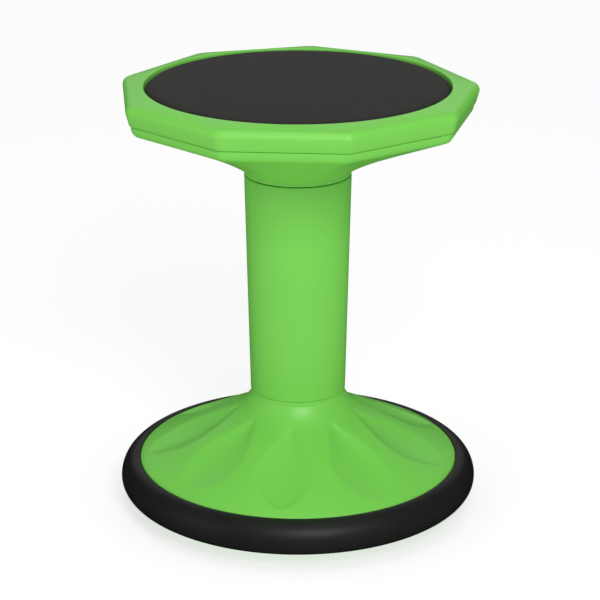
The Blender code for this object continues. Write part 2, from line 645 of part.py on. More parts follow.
def post_fixings(material, parent):
    """Bolt, washer and nut that hold the puck under the post."""
    washer_top = PUCK_BOTTOM - PUCK_CLEARANCE
    washer_bottom = washer_top - WASHER
    hole = BOLT_RADIUS + SCREW_CLEARANCE
    washer = [(hole, washer_bottom), (WASHER_RADIUS, washer_bottom)]
    washer += [(WASHER_RADIUS, washer_top), (hole, washer_top)]
    as_object("post_washer", spun(washer, 16), material, parent)
    head_top = washer_bottom - GAP
    head_bottom = head_top - BOLT_HEAD
    bolt = [
        (0.0, head_bottom),
        (BOLT_HEAD_RADIUS - BOLT_HEAD_EDGE, head_bottom),
        (BOLT_HEAD_RADIUS, head_bottom + BOLT_HEAD_EDGE),
        (BOLT_HEAD_RADIUS, head_top),
        (BOLT_RADIUS, head_top),
        (BOLT_RADIUS, POST_END_TOP + BOLT_REACH),
        (0.0, POST_END_TOP + BOLT_REACH),
    ]
    as_object("post_bolt", spun(bolt, 12), material, parent)
    low = POST_END_TOP + GAP
    high = low + BOLT_NUT
    blank = [(0.0, low), (BOLT_HEAD_RADIUS, low), (BOLT_HEAD_RADIUS, high), (0.0, high)]
    nut = as_object("post_nut", spun(blank, 6), material, parent)
    combine(nut, rods("nut_bore", [Vector()], hole, low - CUT, high + CUT, 12), "DIFFERENCE")


# ---------------------------------------------------------------- column
def column(material, parent):
    """Tapered tube with a spigot in the base, a floor, and ribs that carry the lift nut."""
    floor_top = SPIGOT_BOTTOM + COLUMN_FLOOR
    outline = [
        (COLUMN_FLOOR_HOLE, SPIGOT_BOTTOM),
        (SPIGOT_RADIUS, SPIGOT_BOTTOM),
        (SPIGOT_RADIUS, COLUMN_FOOT),
        (COLUMN_FOOT_RADIUS, COLUMN_FOOT + EDGE_BREAK),
        (COLUMN_TOP_RADIUS, COLUMN_TOP - EDGE_BREAK),
        (COLUMN_TOP_RADIUS - EDGE_BREAK, COLUMN_TOP),
        (TOP_BORE, COLUMN_TOP),
        (column_bore(COLUMN_FOOT + SPIGOT_SHOULDER), COLUMN_FOOT + SPIGOT_SHOULDER),
        (SPIGOT_BORE, COLUMN_FOOT + SPIGOT_SHOULDER_FOOT),
        (SPIGOT_BORE, floor_top),
        (COLUMN_FLOOR_HOLE, floor_top),
    ]
    tube = as_object("column", spun(outline), material, parent)
    half = 0.5 * COLUMN_WALL
    outer_top = column_bore(RIB_TOP) + half
    rib_foot = COLUMN_FOOT + 0.5 * (SPIGOT_SHOULDER + SPIGOT_SHOULDER_FOOT)
    ribs = rib_bars("ribs", RIB_INNER, FOOT_BORE + half, outer_top, RIB_WIDTH, rib_foot, RIB_TOP)
    combine(tube, ribs, "UNION")
    foot_spots = circle_spots(COLUMN_SCREWS, COLUMN_SCREW_CIRCLE, 0.0, COLUMN_SCREW_TURN)
    pilot = SCREW_SHANK + SCREW_CLEARANCE
    combine(tube, rods("foot_pilots", foot_spots, pilot, SPIGOT_BOTTOM - CUT, floor_top + CUT), "DIFFERENCE")
    rib_spots = circle_spots(COLUMN_RIBS, NUT_SCREW_CIRCLE, 0.0)
    pilot = NUT_SCREW_SHANK + SCREW_CLEARANCE
    low = RIB_TOP - NUT_SCREW_BITE - 0.5 * CUT
    combine(tube, rods("rib_pilots", rib_spots, pilot, low, RIB_TOP + NUT_RECESS), "DIFFERENCE")
    return tube


# ---------------------------------------------------------------- base
def dome_height(radius):
    """Height of the base's outside between flutes: a cone that flares up into the collar."""
    span = BASE_EDGE_RADIUS - COLLAR_RADIUS
    away = max(BASE_EDGE_RADIUS - radius, 0.0)
    rise = DOME_TOP - RING_TOP - DOME_EDGE_SLOPE * span
    return RING_TOP + DOME_EDGE_SLOPE * away + rise * (away / span) ** DOME_POWER


def flute_depth(radius, angle):
    """Depth of the leaf-shaped scoops below the dome at a place."""
    span = BASE_EDGE_RADIUS - COLLAR_RADIUS
    along = ((radius - COLLAR_RADIUS) / span - FLUTE_START) / (FLUTE_END - FLUTE_START)
    if not 0.0 < along < 1.0:
        return 0.0
    leaf = sin(pi * along) ** FLUTE_FULLNESS
    side = pi / FLUTES
    off = (angle - FLUTE_TURN + side) % (2 * side) - side
    across = abs(off) / (FLUTE_HALF_ANGLE * leaf)
    return 0.0 if across >= 1 else FLUTE_DEPTH * leaf * (1 - across**2)


def base_angles():
    """Angles of the mesh columns that the dome, its ring and the rocker plate share."""
    steps = FLUTES * FLUTE_COLUMNS
    return [FLUTE_TURN + 2 * pi * i / steps for i in range(steps)]


def base_circle(radius, height):
    """A plain round ring on the base's mesh columns."""
    return [Vector((radius * cos(a), radius * sin(a), height)) for a in base_angles()]


def dome_ring(radius, drop=0.0, inset=0.0):
    """A ring of the fluted dome, shifted down and in for the inner face."""
    top = dome_height(radius) - drop
    reach = radius - inset
    return [
        Vector((reach * cos(a), reach * sin(a), top - flute_depth(radius, a))) for a in base_angles()
    ]


def base_shell(material, parent):
    """Fluted dome with a socket for the column and bosses for the rocker plate."""
    span = BASE_EDGE_RADIUS - COLLAR_RADIUS
    hole = COLUMN_FLOOR_HOLE
    socket_wall = SOCKET_RADIUS + BASE_WALL
    skirt_bore = BASE_EDGE_RADIUS - BASE_WALL
    outer = [COLLAR_RADIUS + span * share for share in (0.02, 0.06, 0.11, 0.18, 0.28, 0.4, 0.55, 0.7, 0.83, 0.93)]
    inner = [COLLAR_RADIUS + span * share for share in (0.93, 0.66, 0.42, 0.20)]
    rings = [base_circle(hole, SOCKET_FLOOR), base_circle(SOCKET_RADIUS, SOCKET_FLOOR)]
    rings += [base_circle(SOCKET_RADIUS, COLLAR_TOP), base_circle(COLLAR_RADIUS, COLLAR_TOP)]
    rings += [base_circle(COLLAR_RADIUS, DOME_TOP)]
    rings += [dome_ring(radius) for radius in outer]
    skirt_top = RING_TOP - SKIRT_STEP
    rings += [base_circle(BASE_EDGE_RADIUS, skirt_top), base_circle(BASE_EDGE_RADIUS, SKIRT_BOTTOM)]
    rings += [base_circle(skirt_bore, SKIRT_BOTTOM), base_circle(skirt_bore, skirt_top - BASE_WALL)]
    for radius in inner:
        slope = (dome_height(radius - 0.001) - dome_height(radius + 0.001)) / 0.002
        length = sqrt(1 + slope**2)
        rings.append(dome_ring(radius, BASE_WALL / length, BASE_WALL * slope / length))
    rings += [base_circle(socket_wall, dome_height(inner[-1]) - BASE_WALL)]
    rings += [base_circle(socket_wall, SOCKET_FLOOR - BASE_WALL), base_circle(hole, SOCKET_FLOOR - BASE_WALL)]
    shell = as_object("base_shell", lofted(rings, closed=True), material, parent)
    spots = circle_spots(ROCKER_SCREWS, ROCKER_SCREW_CIRCLE, 0.0, ROCKER_SCREW_TURN)
    low = boss_bottom()
    boss_top = dome_height(ROCKER_SCREW_CIRCLE + BOSS_RADIUS) - 0.3 * BASE_WALL
    combine(shell, rods("base_bosses", spots, BOSS_RADIUS, low, boss_top), "UNION")
    pilot = SCREW_SHANK + SCREW_CLEARANCE
    combine(shell, rods("base_pilots", spots, pilot, low - CUT, low + ROCKER_SCREW_DEPTH), "DIFFERENCE")
    spots = circle_spots(COLUMN_SCREWS, COLUMN_SCREW_CIRCLE, 0.0, COLUMN_SCREW_TURN)
    low = SOCKET_FLOOR - BASE_WALL - CUT
    combine(shell, rods("socket_holes", spots, pilot, low, SOCKET_FLOOR + CUT), "DIFFERENCE")
    return shell


def base_ring(material, parent):
    """Rubber ring round the base's edge, with a lip that tucks under the skirt."""
    inner = BASE_EDGE_RADIUS + GAP
    lip = BASE_EDGE_RADIUS - BASE_WALL + GAP
    crown = inner + RING_EDGE
    under = RING_RADIUS - RING_UNDER_ROUND
    profile = [(inner, RING_TOP - RING_EDGE), (crown, RING_TOP)]
    for i in range(1, 6):
        turn = pi / 2 * i / 5
        height = RING_BULGE_HEIGHT + (RING_TOP - RING_BULGE_HEIGHT) * cos(turn)
        profile.append((crown + (RING_RADIUS - crown) * sin(turn), height))
    for i in range(1, 5):
        turn = pi / 2 * i / 4
        height = RING_BULGE_HEIGHT - (RING_BULGE_HEIGHT - RING_BOTTOM) * sin(turn)
        profile.append((under + RING_UNDER_ROUND * cos(turn), height))
    profile += [(lip, RING_BOTTOM), (lip, RING_BOTTOM + RING_LIP), (inner, RING_BOTTOM + RING_LIP)]
    skin = lofted([base_circle(r, z) for r, z in profile], closed=True)
    return as_object("base_ring", skin, material, parent)


def rocker_height(radius):
    """Height of the rocker plate's underside: flat in the middle, then a shallow bowl."""
    if radius <= ROCKER_FLAT:
        return 0.0
    share = (radius - ROCKER_FLAT) / (ROCKER_RADIUS - ROCKER_FLAT)
    return RING_BOTTOM * share**ROCKER_POWER


def boss_bottom():
    """Height of the base bosses' lower ends."""
    return rocker_height(ROCKER_SCREW_CIRCLE) + ROCKER_WALL + BOSS_GAP


def rocker_plate(material, parent):
    """Bowed plate that closes the base and rocks on the floor."""
    radii = [ROCKER_FLAT + (ROCKER_RADIUS - EDGE_BREAK - ROCKER_FLAT) * i / 4 for i in range(5)]
    under = [(r, rocker_height(r)) for r in radii]
    above = [(r, rocker_height(r) + ROCKER_WALL) for r in reversed(radii)]
    profile = under + [(ROCKER_RADIUS, RING_BOTTOM + EDGE_BREAK), (ROCKER_RADIUS, above[0][1])] + above
    plate = as_object("rocker_plate", lofted([base_circle(r, z) for r, z in profile]), material, parent)
    spots = circle_spots(ROCKER_SCREWS, ROCKER_SCREW_CIRCLE, 0.0, ROCKER_SCREW_TURN)
    pilot = SCREW_SHANK + SCREW_CLEARANCE
    seat = rocker_height(ROCKER_SCREW_CIRCLE) + ROCKER_SCREW_SINK
    combine(plate, rods("rocker_holes", spots, pilot, -CUT, seat + ROCKER_WALL + CUT), "DIFFERENCE")
    combine(plate, rods("rocker_sinks", spots, SCREW_HEAD + SCREW_CLEARANCE, -CUT, seat), "DIFFERENCE")
    return plate


# ---------------------------------------------------------------- screws
def repeated(name, mesh, parent, spots, flipped=False):
    """One object of this mesh at each spot, numbered from 1."""
    for i, spot in enumerate(spots, start=1):
        placed(f"{name}_{i}", mesh, parent, spot, flipped)


def fasteners(steel, stand, seat):
    """Every screw of the stool, each a little shorter than its hole."""
    head = (SCREW_SHANK, SCREW_HEAD, SCREW_HEAD_HEIGHT)
    spare = BOSS_GAP
    shell = screw_mesh("shell_screw", *head, SHELL_WALL - SHELL_SCREW_SINK + SHELL_SCREW_DEPTH - spare, steel)
    height = RECESS_FLOOR - SHELL_SCREW_SINK
    repeated("shell_screw", shell, seat, circle_spots(SEAT_SIDES, SHELL_SCREW_CIRCLE, height, SEAT_TURN))
    flange = screw_mesh("post_screw", *head, POST_FLANGE + POST_SCREW_DEPTH - spare, steel)
    repeated("post_screw", flange, seat, circle_spots(POST_SCREWS, POST_SCREW_CIRCLE, FLANGE_TOP + GAP))
    pad = screw_mesh("pad_screw", *head, SHELL_WALL + PAD_COVER_WALL + 3 * GAP + PAD_SCREW_BITE, steel)
    spots = circle_spots(PAD_SCREWS, PAD_SCREW_CIRCLE, RECESS_UNDERSIDE - GAP, PAD_SCREW_TURN)
    repeated("pad_screw", pad, seat, spots, flipped=True)
    nut_head = (NUT_SCREW_SHANK, NUT_SCREW_HEAD, NUT_SCREW_HEAD_HEIGHT)
    nut = screw_mesh("nut_screw", *nut_head, NUT_HEIGHT + NUT_SCREW_BITE, steel)
    spots = circle_spots(COLUMN_RIBS, NUT_SCREW_CIRCLE, NUT_TOP - NUT_SCREW_HEAD_HEIGHT)
    repeated("nut_screw", nut, stand, spots)
    foot = screw_mesh("column_screw", *head, BASE_WALL + GAP + COLUMN_FLOOR + COLUMN_SCREW_BITE, steel)
    height = SOCKET_FLOOR - BASE_WALL - GAP
    spots = circle_spots(COLUMN_SCREWS, COLUMN_SCREW_CIRCLE, height, COLUMN_SCREW_TURN)
    repeated("column_screw", foot, stand, spots, flipped=True)
    height = rocker_height(ROCKER_SCREW_CIRCLE) + ROCKER_SCREW_SINK - GAP
    rocker = screw_mesh("rocker_screw", *head, boss_bottom() - height + ROCKER_SCREW_DEPTH - spare, steel)
    spots = circle_spots(ROCKER_SCREWS, ROCKER_SCREW_CIRCLE, height, ROCKER_SCREW_TURN)
    repeated("rocker_screw", rocker, stand, spots, flipped=True)


# ---------------------------------------------------------------- the stool
def empty(name, height):
    """A parent on the column's axis."""
    obj = bpy.data.objects.new(name, None)
    bpy.context.collection.objects.link(obj)
    obj.location = (0.0, 0.0, height)
    return obj


def main():
    """Clears the scene and builds the stool."""
    for obj in list(bpy.data.objects):
        bpy.data.objects.remove(obj)
    materials = {
        "green": plastic("green_plastic", (0.180, 0.630, 0.085), 0.42),
        "rubber": plastic("black_rubber", (0.012, 0.012, 0.012), 0.55),
        "pad": plastic("pad_vinyl", (0.038, 0.038, 0.036), 0.75),
        "foam": plastic("grey_foam", (0.30, 0.30, 0.31), 0.95),
        "board": plastic("plywood", (0.45, 0.32, 0.18), 0.70),
        "nylon": plastic("black_nylon", (0.020, 0.020, 0.021), 0.45),
        "steel": plastic("zinc_steel", (0.62, 0.63, 0.64), 0.35, 1.0),
    }
    stand = empty("stand_axis", 0.0)
    glide = empty("glide_axis", 0.0)
    seat = empty("seat_axis", 0.0)
    base_shell(materials["green"], stand)
    base_ring(materials["rubber"], stand)
    rocker_plate(materials["nylon"], stand)
    column(materials["green"], stand)
    lift_nut(materials["nylon"], stand)
    guide_puck(materials["nylon"], glide)
    threaded_post(materials["nylon"], seat)
    post_fixings(materials["steel"], seat)
    seat_lower_shell(materials["green"], seat)
    seat_top_shell(materials["green"], seat)
    pad_pieces(materials, seat)
    fasteners(materials["steel"], stand, seat)


main()
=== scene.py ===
"""Finished look of a children's wobble stool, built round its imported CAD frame.

Each sub-assembly of the stool is a class that holds its sizes, builds its meshes and
dresses them in the finishes below. Metres, +Z up, and the front of the stool is -Y.
"""

import json
import logging
from collections.abc import Callable, Iterable, Sequence
from dataclasses import dataclass, field
from enum import Enum
from math import atan, atan2, cos, hypot, pi, radians, sin, sqrt

import bmesh
import bpy
from mathutils import Matrix, Vector

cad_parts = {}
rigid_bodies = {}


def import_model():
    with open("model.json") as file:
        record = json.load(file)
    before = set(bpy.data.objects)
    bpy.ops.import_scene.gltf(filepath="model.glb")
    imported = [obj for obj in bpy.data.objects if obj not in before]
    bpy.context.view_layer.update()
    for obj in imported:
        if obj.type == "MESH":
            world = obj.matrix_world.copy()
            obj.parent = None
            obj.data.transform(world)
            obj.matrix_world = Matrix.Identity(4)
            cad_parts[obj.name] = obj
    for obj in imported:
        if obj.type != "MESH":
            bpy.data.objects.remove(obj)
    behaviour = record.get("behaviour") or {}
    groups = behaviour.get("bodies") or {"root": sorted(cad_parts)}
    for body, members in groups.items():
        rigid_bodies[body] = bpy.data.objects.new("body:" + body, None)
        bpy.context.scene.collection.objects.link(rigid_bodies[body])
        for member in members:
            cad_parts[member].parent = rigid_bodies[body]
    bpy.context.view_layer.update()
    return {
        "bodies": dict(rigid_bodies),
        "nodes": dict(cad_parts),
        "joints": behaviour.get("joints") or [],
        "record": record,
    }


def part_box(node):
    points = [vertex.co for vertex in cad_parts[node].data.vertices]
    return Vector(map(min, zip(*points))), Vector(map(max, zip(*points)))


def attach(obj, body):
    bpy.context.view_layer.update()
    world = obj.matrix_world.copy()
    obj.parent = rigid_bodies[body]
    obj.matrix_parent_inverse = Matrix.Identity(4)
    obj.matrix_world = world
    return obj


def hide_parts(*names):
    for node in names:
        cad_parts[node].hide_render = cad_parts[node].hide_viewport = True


log = logging.getLogger("wobble_stool")

MM = 0.001
TOUCH = 0.3 * MM  # what the frame leaves between pieces that touch on the real stool
Outline = list[tuple[float, float]]


class Body(Enum):
    """The bodies that the stool's pieces ride on."""

    STAND = "stand"
    GLIDE = "glide"
    SEAT = "seat"


class Slot(Enum):
    """The record's material slots."""

    GREEN = "green_plastic"
    RUBBER = "black_rubber"
    VINYL = "pad_vinyl"
    FOAM = "grey_foam"
    BOARD = "plywood"
    NYLON = "black_nylon"
    STEEL = "zinc_steel"


# ------------------------------------------------------------------ finishes
def linear(colour: str) -> tuple[float, float, float, float]:
    """Turns an sRGB hex colour such as "#80d15b" to linear red, green, blue and alpha.

    Args:
        colour: the hex value, with or without its #.

    Returns:
        Linear values from 0 to 1, alpha last.
    """
    digits = colour.lstrip("#")
    shares = [int(digits[i : i + 2], 16) / 255 for i in (0, 2, 4)]
    red, green, blue = (s / 12.92 if s <= 0.04045 else ((s + 0.055) / 1.055) ** 2.4 for s in shares)
    return red, green, blue, 1.0


def add_node(tree: bpy.types.NodeTree, kind: str, inputs: dict | None = None, **settings) -> bpy.types.Node:
    """Adds a node with its settings, its input values and its links.

    Args:
        tree: the material's node tree.
        kind: the node's type, such as "ShaderNodeTexNoise".
        inputs: a value or an output socket for each input, by name or number.
        **settings: the node's own properties.

    Returns:
        The new node.
    """
    node = tree.nodes.new(kind)
    for key, value in settings.items():
        setattr(node, key, value)
    for key, value in (inputs or {}).items():
        if isinstance(value, bpy.types.NodeSocket):
            tree.links.new(value, node.inputs[key])
        else:
            node.inputs[key].default_value = value
    return node


@dataclass(frozen=True)
class Finish:
    """What all the finishes share: a Principled shader on a tree of its own."""

    name: str
    colour: str
    roughness: float
    ior: float = 1.5
    specular: float = 0.5

    def start(self) -> tuple[bpy.types.Material, bpy.types.NodeTree, bpy.types.Node, bpy.types.NodeSocket]:
        """Makes the material with its plain values.

        Returns:
            The material, its tree, its shader and the Object coordinates that its patterns use.
        """
        material = bpy.data.materials.new(self.name)
        material.use_nodes = True
        tree = material.node_tree
        shader = tree.nodes["Principled BSDF"]
        shader.inputs["Base Color"].default_value = linear(self.colour)
        shader.inputs["Roughness"].default_value = self.roughness
        shader.inputs["IOR"].default_value = self.ior
        shader.inputs["Specular IOR Level"].default_value = self.specular
        place = add_node(tree, "ShaderNodeTexCoord").outputs["Object"]
        return material, tree, shader, place

    def mottle(
        self, tree: bpy.types.NodeTree, shader: bpy.types.Node, factor: bpy.types.NodeSocket, other: str
    ) -> None:
        """Lets the base colour drift between the finish's own colour and another; for the foam, that other
        colour is painted pore shade.

        Args:
            tree: the material's tree.
            shader: its Principled shader.
            factor: where 1 gives the other colour.
            other: that colour, in hex.
        """
        mix = add_node(
            tree,
            "ShaderNodeMix",
            {"Factor": factor, 6: linear(self.colour), 7: linear(other)},
            data_type="RGBA",
        )
        tree.links.new(mix.outputs[2], shader.inputs["Base Color"])

    def relief(
        self, tree: bpy.types.NodeTree, shader: bpy.types.Node, height: bpy.types.NodeSocket, depth: float
    ) -> None:
        """Gives the surface a bump.

        Args:
            tree: the material's tree.
            shader: its Principled shader.
            height: the pattern, from 0 to 1.
            depth: how deep the pattern is, in metres.
        """
        bump = add_node(tree, "ShaderNodeBump", {"Height": height, "Distance": depth, "Strength": 1.0})
        tree.links.new(bump.outputs["Normal"], shader.inputs["Normal"])


@dataclass(frozen=True)
class MouldedPolypropylene(Finish):
    """Polypropylene from a lightly spark-eroded mould: a satin skin with a very fine, shallow grain."""

    drift: str = "#6ec747"
    grain: float = 0.9 * MM
    depth: float = 0.012 * MM

    def material(self) -> bpy.types.Material:
        """Makes the material: slow colour drift from the melt's flow, fine grain, uneven gloss."""
        material, tree, shader, place = self.start()
        flow = add_node(
            tree, "ShaderNodeTexNoise", {"Vector": place, "Scale": 9.0, "Detail": 2.0, "Roughness": 0.5}
        )
        self.mottle(tree, shader, flow.outputs["Fac"], self.drift)
        gloss = add_node(
            tree,
            "ShaderNodeMapRange",
            {"Value": flow.outputs["Fac"], "To Min": self.roughness - 0.03, "To Max": self.roughness + 0.04},
        )
        tree.links.new(gloss.outputs["Result"], shader.inputs["Roughness"])
        grain = add_node(
            tree, "ShaderNodeTexNoise", {"Vector": place, "Scale": 1 / self.grain, "Detail": 3.0}
        )
        self.relief(tree, shader, grain.outputs["Fac"], self.depth)
        return material


@dataclass(frozen=True)
class MouldedRubber(Finish):
    """Carbon-black rubber from a matt mould: a soft sheen that is broken by a fine pebble."""

    bloom: str = "#242423"
    pebble: float = 1.1 * MM
    depth: float = 0.03 * MM

    def material(self) -> bpy.types.Material:
        """Makes the material: a greyish bloom in patches over a fine pebble."""
        material, tree, shader, place = self.start()
        patches = add_node(
            tree, "ShaderNodeTexNoise", {"Vector": place, "Scale": 14.0, "Detail": 5.0, "Roughness": 0.6}
        )
        self.mottle(tree, shader, patches.outputs["Fac"], self.bloom)
        pebble = add_node(
            tree, "ShaderNodeTexNoise", {"Vector": place, "Scale": 1 / self.pebble, "Detail": 4.0}
        )
        self.relief(tree, shader, pebble.outputs["Fac"], self.depth)
        return material


@dataclass(frozen=True)
class GrainedVinyl(Finish):
    """PVC-coated upholstery cloth with an embossed leather grain: matt tops, with painted shade darkening
    the creases between them.
    """

    # darker colour painted into the grain's creases as shade
    painted_crease_shade: str = "#1f1f1d"
    cell: float = 1.6 * MM
    depth: float = 0.10 * MM

    def material(self) -> bpy.types.Material:
        """Makes the material: rounded grain cells with painted shade in their creases, and a slow drift in
        tone.
        """
        material, tree, shader, place = self.start()
        waver = add_node(
            tree, "ShaderNodeTexNoise", {"Vector": place, "Scale": 0.5 / self.cell, "Detail": 2.0}
        )
        bent = add_node(
            tree,
            "ShaderNodeVectorMath",
            {0: waver.outputs["Color"], 1: (self.cell,) * 3, 2: place},
            operation="MULTIPLY_ADD",
        )
        cells = add_node(
            tree,
            "ShaderNodeTexVoronoi",
            {"Vector": bent.outputs["Vector"], "Scale": 1 / self.cell},
            feature="DISTANCE_TO_EDGE",
        )
        tops = add_node(
            tree, "ShaderNodeMapRange", {"Value": cells.outputs["Distance"], "From Max": 0.30, "To Min": 0.0}
        )
        slow = add_node(
            tree, "ShaderNodeTexNoise", {"Vector": place, "Scale": 9.0, "Detail": 5.0, "Roughness": 0.6}
        )
        # painted crease shade from the grain, times a slow random drift in tone
        tone = add_node(
            tree,
            "ShaderNodeMath",
            {0: tops.outputs["Result"], 1: slow.outputs["Fac"]},
            operation="MULTIPLY",
        )
        # mixes the painted crease shade, with the random drift, into the base colour
        mix = add_node(
            tree,
            "ShaderNodeMix",
            {"Factor": tone.outputs["Value"], 6: linear(self.painted_crease_shade), 7: linear(self.colour)},
            data_type="RGBA",
        )
        tree.links.new(mix.outputs[2], shader.inputs["Base Color"])
        self.relief(tree, shader, tops.outputs["Result"], self.depth)
        return material


@dataclass(frozen=True)
class MouldedNylon(Finish):
    """Glass-filled black nylon: a dull skin, a little lighter where the fibres reach it."""

    fibre: str = "#2e2e30"
    fleck: float = 2.5 * MM
    depth: float = 0.03 * MM

    def material(self) -> bpy.types.Material:
        """Makes the material: faint pale flow marks and a fine grain."""
        material, tree, shader, place = self.start()
        flow = add_node(
            tree,
            "ShaderNodeTexNoise",
            {"Vector": place, "Scale": 1 / self.fleck, "Detail": 6.0, "Roughness": 0.65, "Distortion": 1.5},
        )
        self.mottle(tree, shader, flow.outputs["Fac"], self.fibre)
        self.relief(tree, shader, flow.outputs["Fac"], self.depth)
        return material


@dataclass(frozen=True)
class ZincPlate(Finish):
    """Bright zinc on cold-headed steel: pale, slightly blue, with cloudy gloss from the bath."""

    cloud: str = "#b9bcc2"
    unevenness: float = 0.08
    patch: float = 3.0 * MM

    def material(self) -> bpy.types.Material:
        """Makes the material: metal whose tone and gloss drift in small clouds."""
        material, tree, shader, place = self.start()
        shader.inputs["Metallic"].default_value = 1.0
        clouds = add_node(
            tree, "ShaderNodeTexNoise", {"Vector": place, "Scale": 1 / self.patch, "Detail": 4.0}
        )
        self.mottle(tree, shader, clouds.outputs["Fac"], self.cloud)
        gloss = add_node(
            tree,
            "ShaderNodeMapRange",
            {
                "Value": clouds.outputs["Fac"],
                "To Min": self.roughness - self.unevenness,
                "To Max": self.roughness + self.unevenness,
            },
        )
        tree.links.new(gloss.outputs["Result"], shader.inputs["Roughness"])
        return material


@dataclass(frozen=True)
class CellFoam(Finish):
    """Open-cell polyurethane foam: dull grey, with painted shade for its pores."""

    # darker colour painted in as shade for the pores
    painted_pore_shade: str = "#4b4b4e"
    cell: float = 1.5 * MM

    def material(self) -> bpy.types.Material:
        """Makes the material: rounded pores in relief, with their shade painted into the colour by the same
        pattern.
        """
        material, tree, shader, place = self.start()
        cells = add_node(tree, "ShaderNodeTexVoronoi", {"Vector": place, "Scale": 1 / self.cell})
        # painted pore shade, mixed in by the cells' distance
        self.mottle(tree, shader, cells.outputs["Distance"], self.painted_pore_shade)
        self.relief(tree, shader, cells.outputs["Distance"], 0.4 * MM)
        return material


@dataclass(frozen=True)
class BirchPly(Finish):
    """Rotary-cut birch plywood: pale, with long wavering grain lines a few millimetres apart."""

    line: str = "#b98f5c"
    spacing: float = 5.0 * MM

    def material(self) -> bpy.types.Material:
        """Makes the material: distorted bands along X."""
        material, tree, shader, place = self.start()
        bands = add_node(
            tree,
            "ShaderNodeTexWave",
            {
                "Vector": place,
                "Scale": 0.3 / self.spacing,
                "Distortion": 4.0,
                "Detail": 3.0,
                "Detail Scale": 1.5,
            },
            bands_direction="Y",
        )
        self.mottle(tree, shader, bands.outputs["Fac"], self.line)
        self.relief(tree, shader, bands.outputs["Fac"], 0.05 * MM)
        return material


@dataclass
class Wardrobe:
    """Every finish of the stool, made once."""

    materials: dict[Slot, bpy.types.Material] = field(default_factory=dict)

    def __post_init__(self) -> None:
        """Makes the materials."""
        self.materials = {
            Slot.GREEN: MouldedPolypropylene("moulded_green_polypropylene", "#78ce50", 0.42).material(),
            Slot.RUBBER: MouldedRubber("moulded_black_rubber", "#111111", 0.45, 1.52, 0.22).material(),
            Slot.VINYL: GrainedVinyl("grained_black_vinyl", "#2f2c25", 0.62, 1.53, 0.28).material(),
            Slot.NYLON: MouldedNylon("moulded_black_nylon", "#1b1b1c", 0.48, 1.53).material(),
            Slot.STEEL: ZincPlate("zinc_plated_steel", "#d3d6da", 0.30).material(),
            Slot.FOAM: CellFoam("grey_cell_foam", "#8f8f92", 0.95).material(),
            Slot.BOARD: BirchPly("birch_plywood", "#d9b98a", 0.65).material(),
        }

    def dress(self, piece: bpy.types.Object, slot: Slot) -> None:
        """Gives a piece one finish all over."""
        piece.data.materials.clear()
        piece.data.materials.append(self.materials[slot])


# ------------------------------------------------------------------ mesh helpers
def arc(centre: tuple[float, float], radius: float, start: float, end: float, steps: int) -> Outline:
    """Points of a circular arc in the (radius, height) plane.

    Args:
        centre: the arc's centre.
        radius: its radius.
        start: first angle in degrees, 0 outwards and 90 upwards.
        end: last angle in degrees.
        steps: how many chords it has.

    Returns:
        The points, first to last.
    """
    turns = [radians(start + (end - start) * i / steps) for i in range(steps + 1)]
    return [(centre[0] + radius * cos(t), centre[1] + radius * sin(t)) for t in turns]


def spun(outline: Outline, steps: int = 192) -> bmesh.types.BMesh:
    """Turns a (radius, height) outline about Z.

    Args:
        outline: its points. One that starts and ends on the axis stays open there, and any
            other is closed.
        steps: how many faces go round.

    Returns:
        The mesh, its faces pointing out.
    """
    bm = bmesh.new()
    verts = [bm.verts.new((r, 0.0, z)) for r, z in outline]
    pairs = list(zip(verts, verts[1:]))
    if outline[0][0] > 0:
        pairs.append((verts[-1], verts[0]))
    edges = [bm.edges.new(pair) for pair in pairs]
    bmesh.ops.spin(
        bm, geom=verts + edges, axis=(0, 0, 1), cent=(0, 0, 0), steps=steps, angle=2 * pi, use_merge=True
    )
    bmesh.ops.remove_doubles(bm, verts=bm.verts, dist=0.002 * MM)
    bmesh.ops.recalc_face_normals(bm, faces=bm.faces)
    return bm


class Skin:
    """A shell that isn't round, grown ring by ring.

    Each step extrudes the open border and moves its new vertices. Every vertex remembers
    the column that it stands in.
    """

    def __init__(self, columns: Sequence[float]) -> None:
        """Starts with one ring.

        Args:
            columns: what each column is called in the ring's place function, such as its angle.
        """
        self.bm = bmesh.new()
        self.column = self.bm.verts.layers.float.new("column")
        ring = bmesh.ops.create_circle(self.bm, segments=len(columns), radius=1.0)["verts"]
        for vert, column in zip(ring, columns):
            vert[self.column] = column
        self.border = list(self.bm.edges)
        self.started = False

    def grow(self, place: Callable[[float], Vector]) -> None:
        """Adds a ring.

        Args:
            place: gives a column's point on this ring.
        """
        verts = list(self.bm.verts)
        if self.started:
            made = bmesh.ops.extrude_edge_only(self.bm, edges=self.border)["geom"]
            verts = [item for item in made if isinstance(item, bmesh.types.BMVert)]
            self.border = [e for e in made if isinstance(e, bmesh.types.BMEdge) and e.is_boundary]
        for vert in verts:
            vert.co = place(vert[self.column])
        self.started = True

    def cap(self) -> None:
        """Closes the open border with one face."""
        bmesh.ops.edgeloop_fill(self.bm, edges=self.border)

    def finish(self) -> bmesh.types.BMesh:
        """Joins rings that meet and turns the faces out."""
        bmesh.ops.remove_doubles(self.bm, verts=self.bm.verts, dist=0.002 * MM)
        bmesh.ops.recalc_face_normals(self.bm, faces=self.bm.faces)
        return self.bm


def as_object(name: str, bm: bmesh.types.BMesh, sharp: float = 35.0) -> bpy.types.Object:
    """Turns a bmesh into a smooth-shaded object with its sharp edges marked.

    Args:
        name: the object's name.
        bm: its mesh, which is freed.
        sharp: edges that turn by more than this many degrees stay sharp.

    Returns:
        The object, at the origin.
    """
    mesh = bpy.data.meshes.new(name)
    bm.to_mesh(mesh)
    bm.free()
    mesh.shade_smooth()
    mesh.set_sharp_from_angle(angle=radians(sharp))
    obj = bpy.data.objects.new(name, mesh)
    bpy.context.scene.collection.objects.link(obj)
    return obj


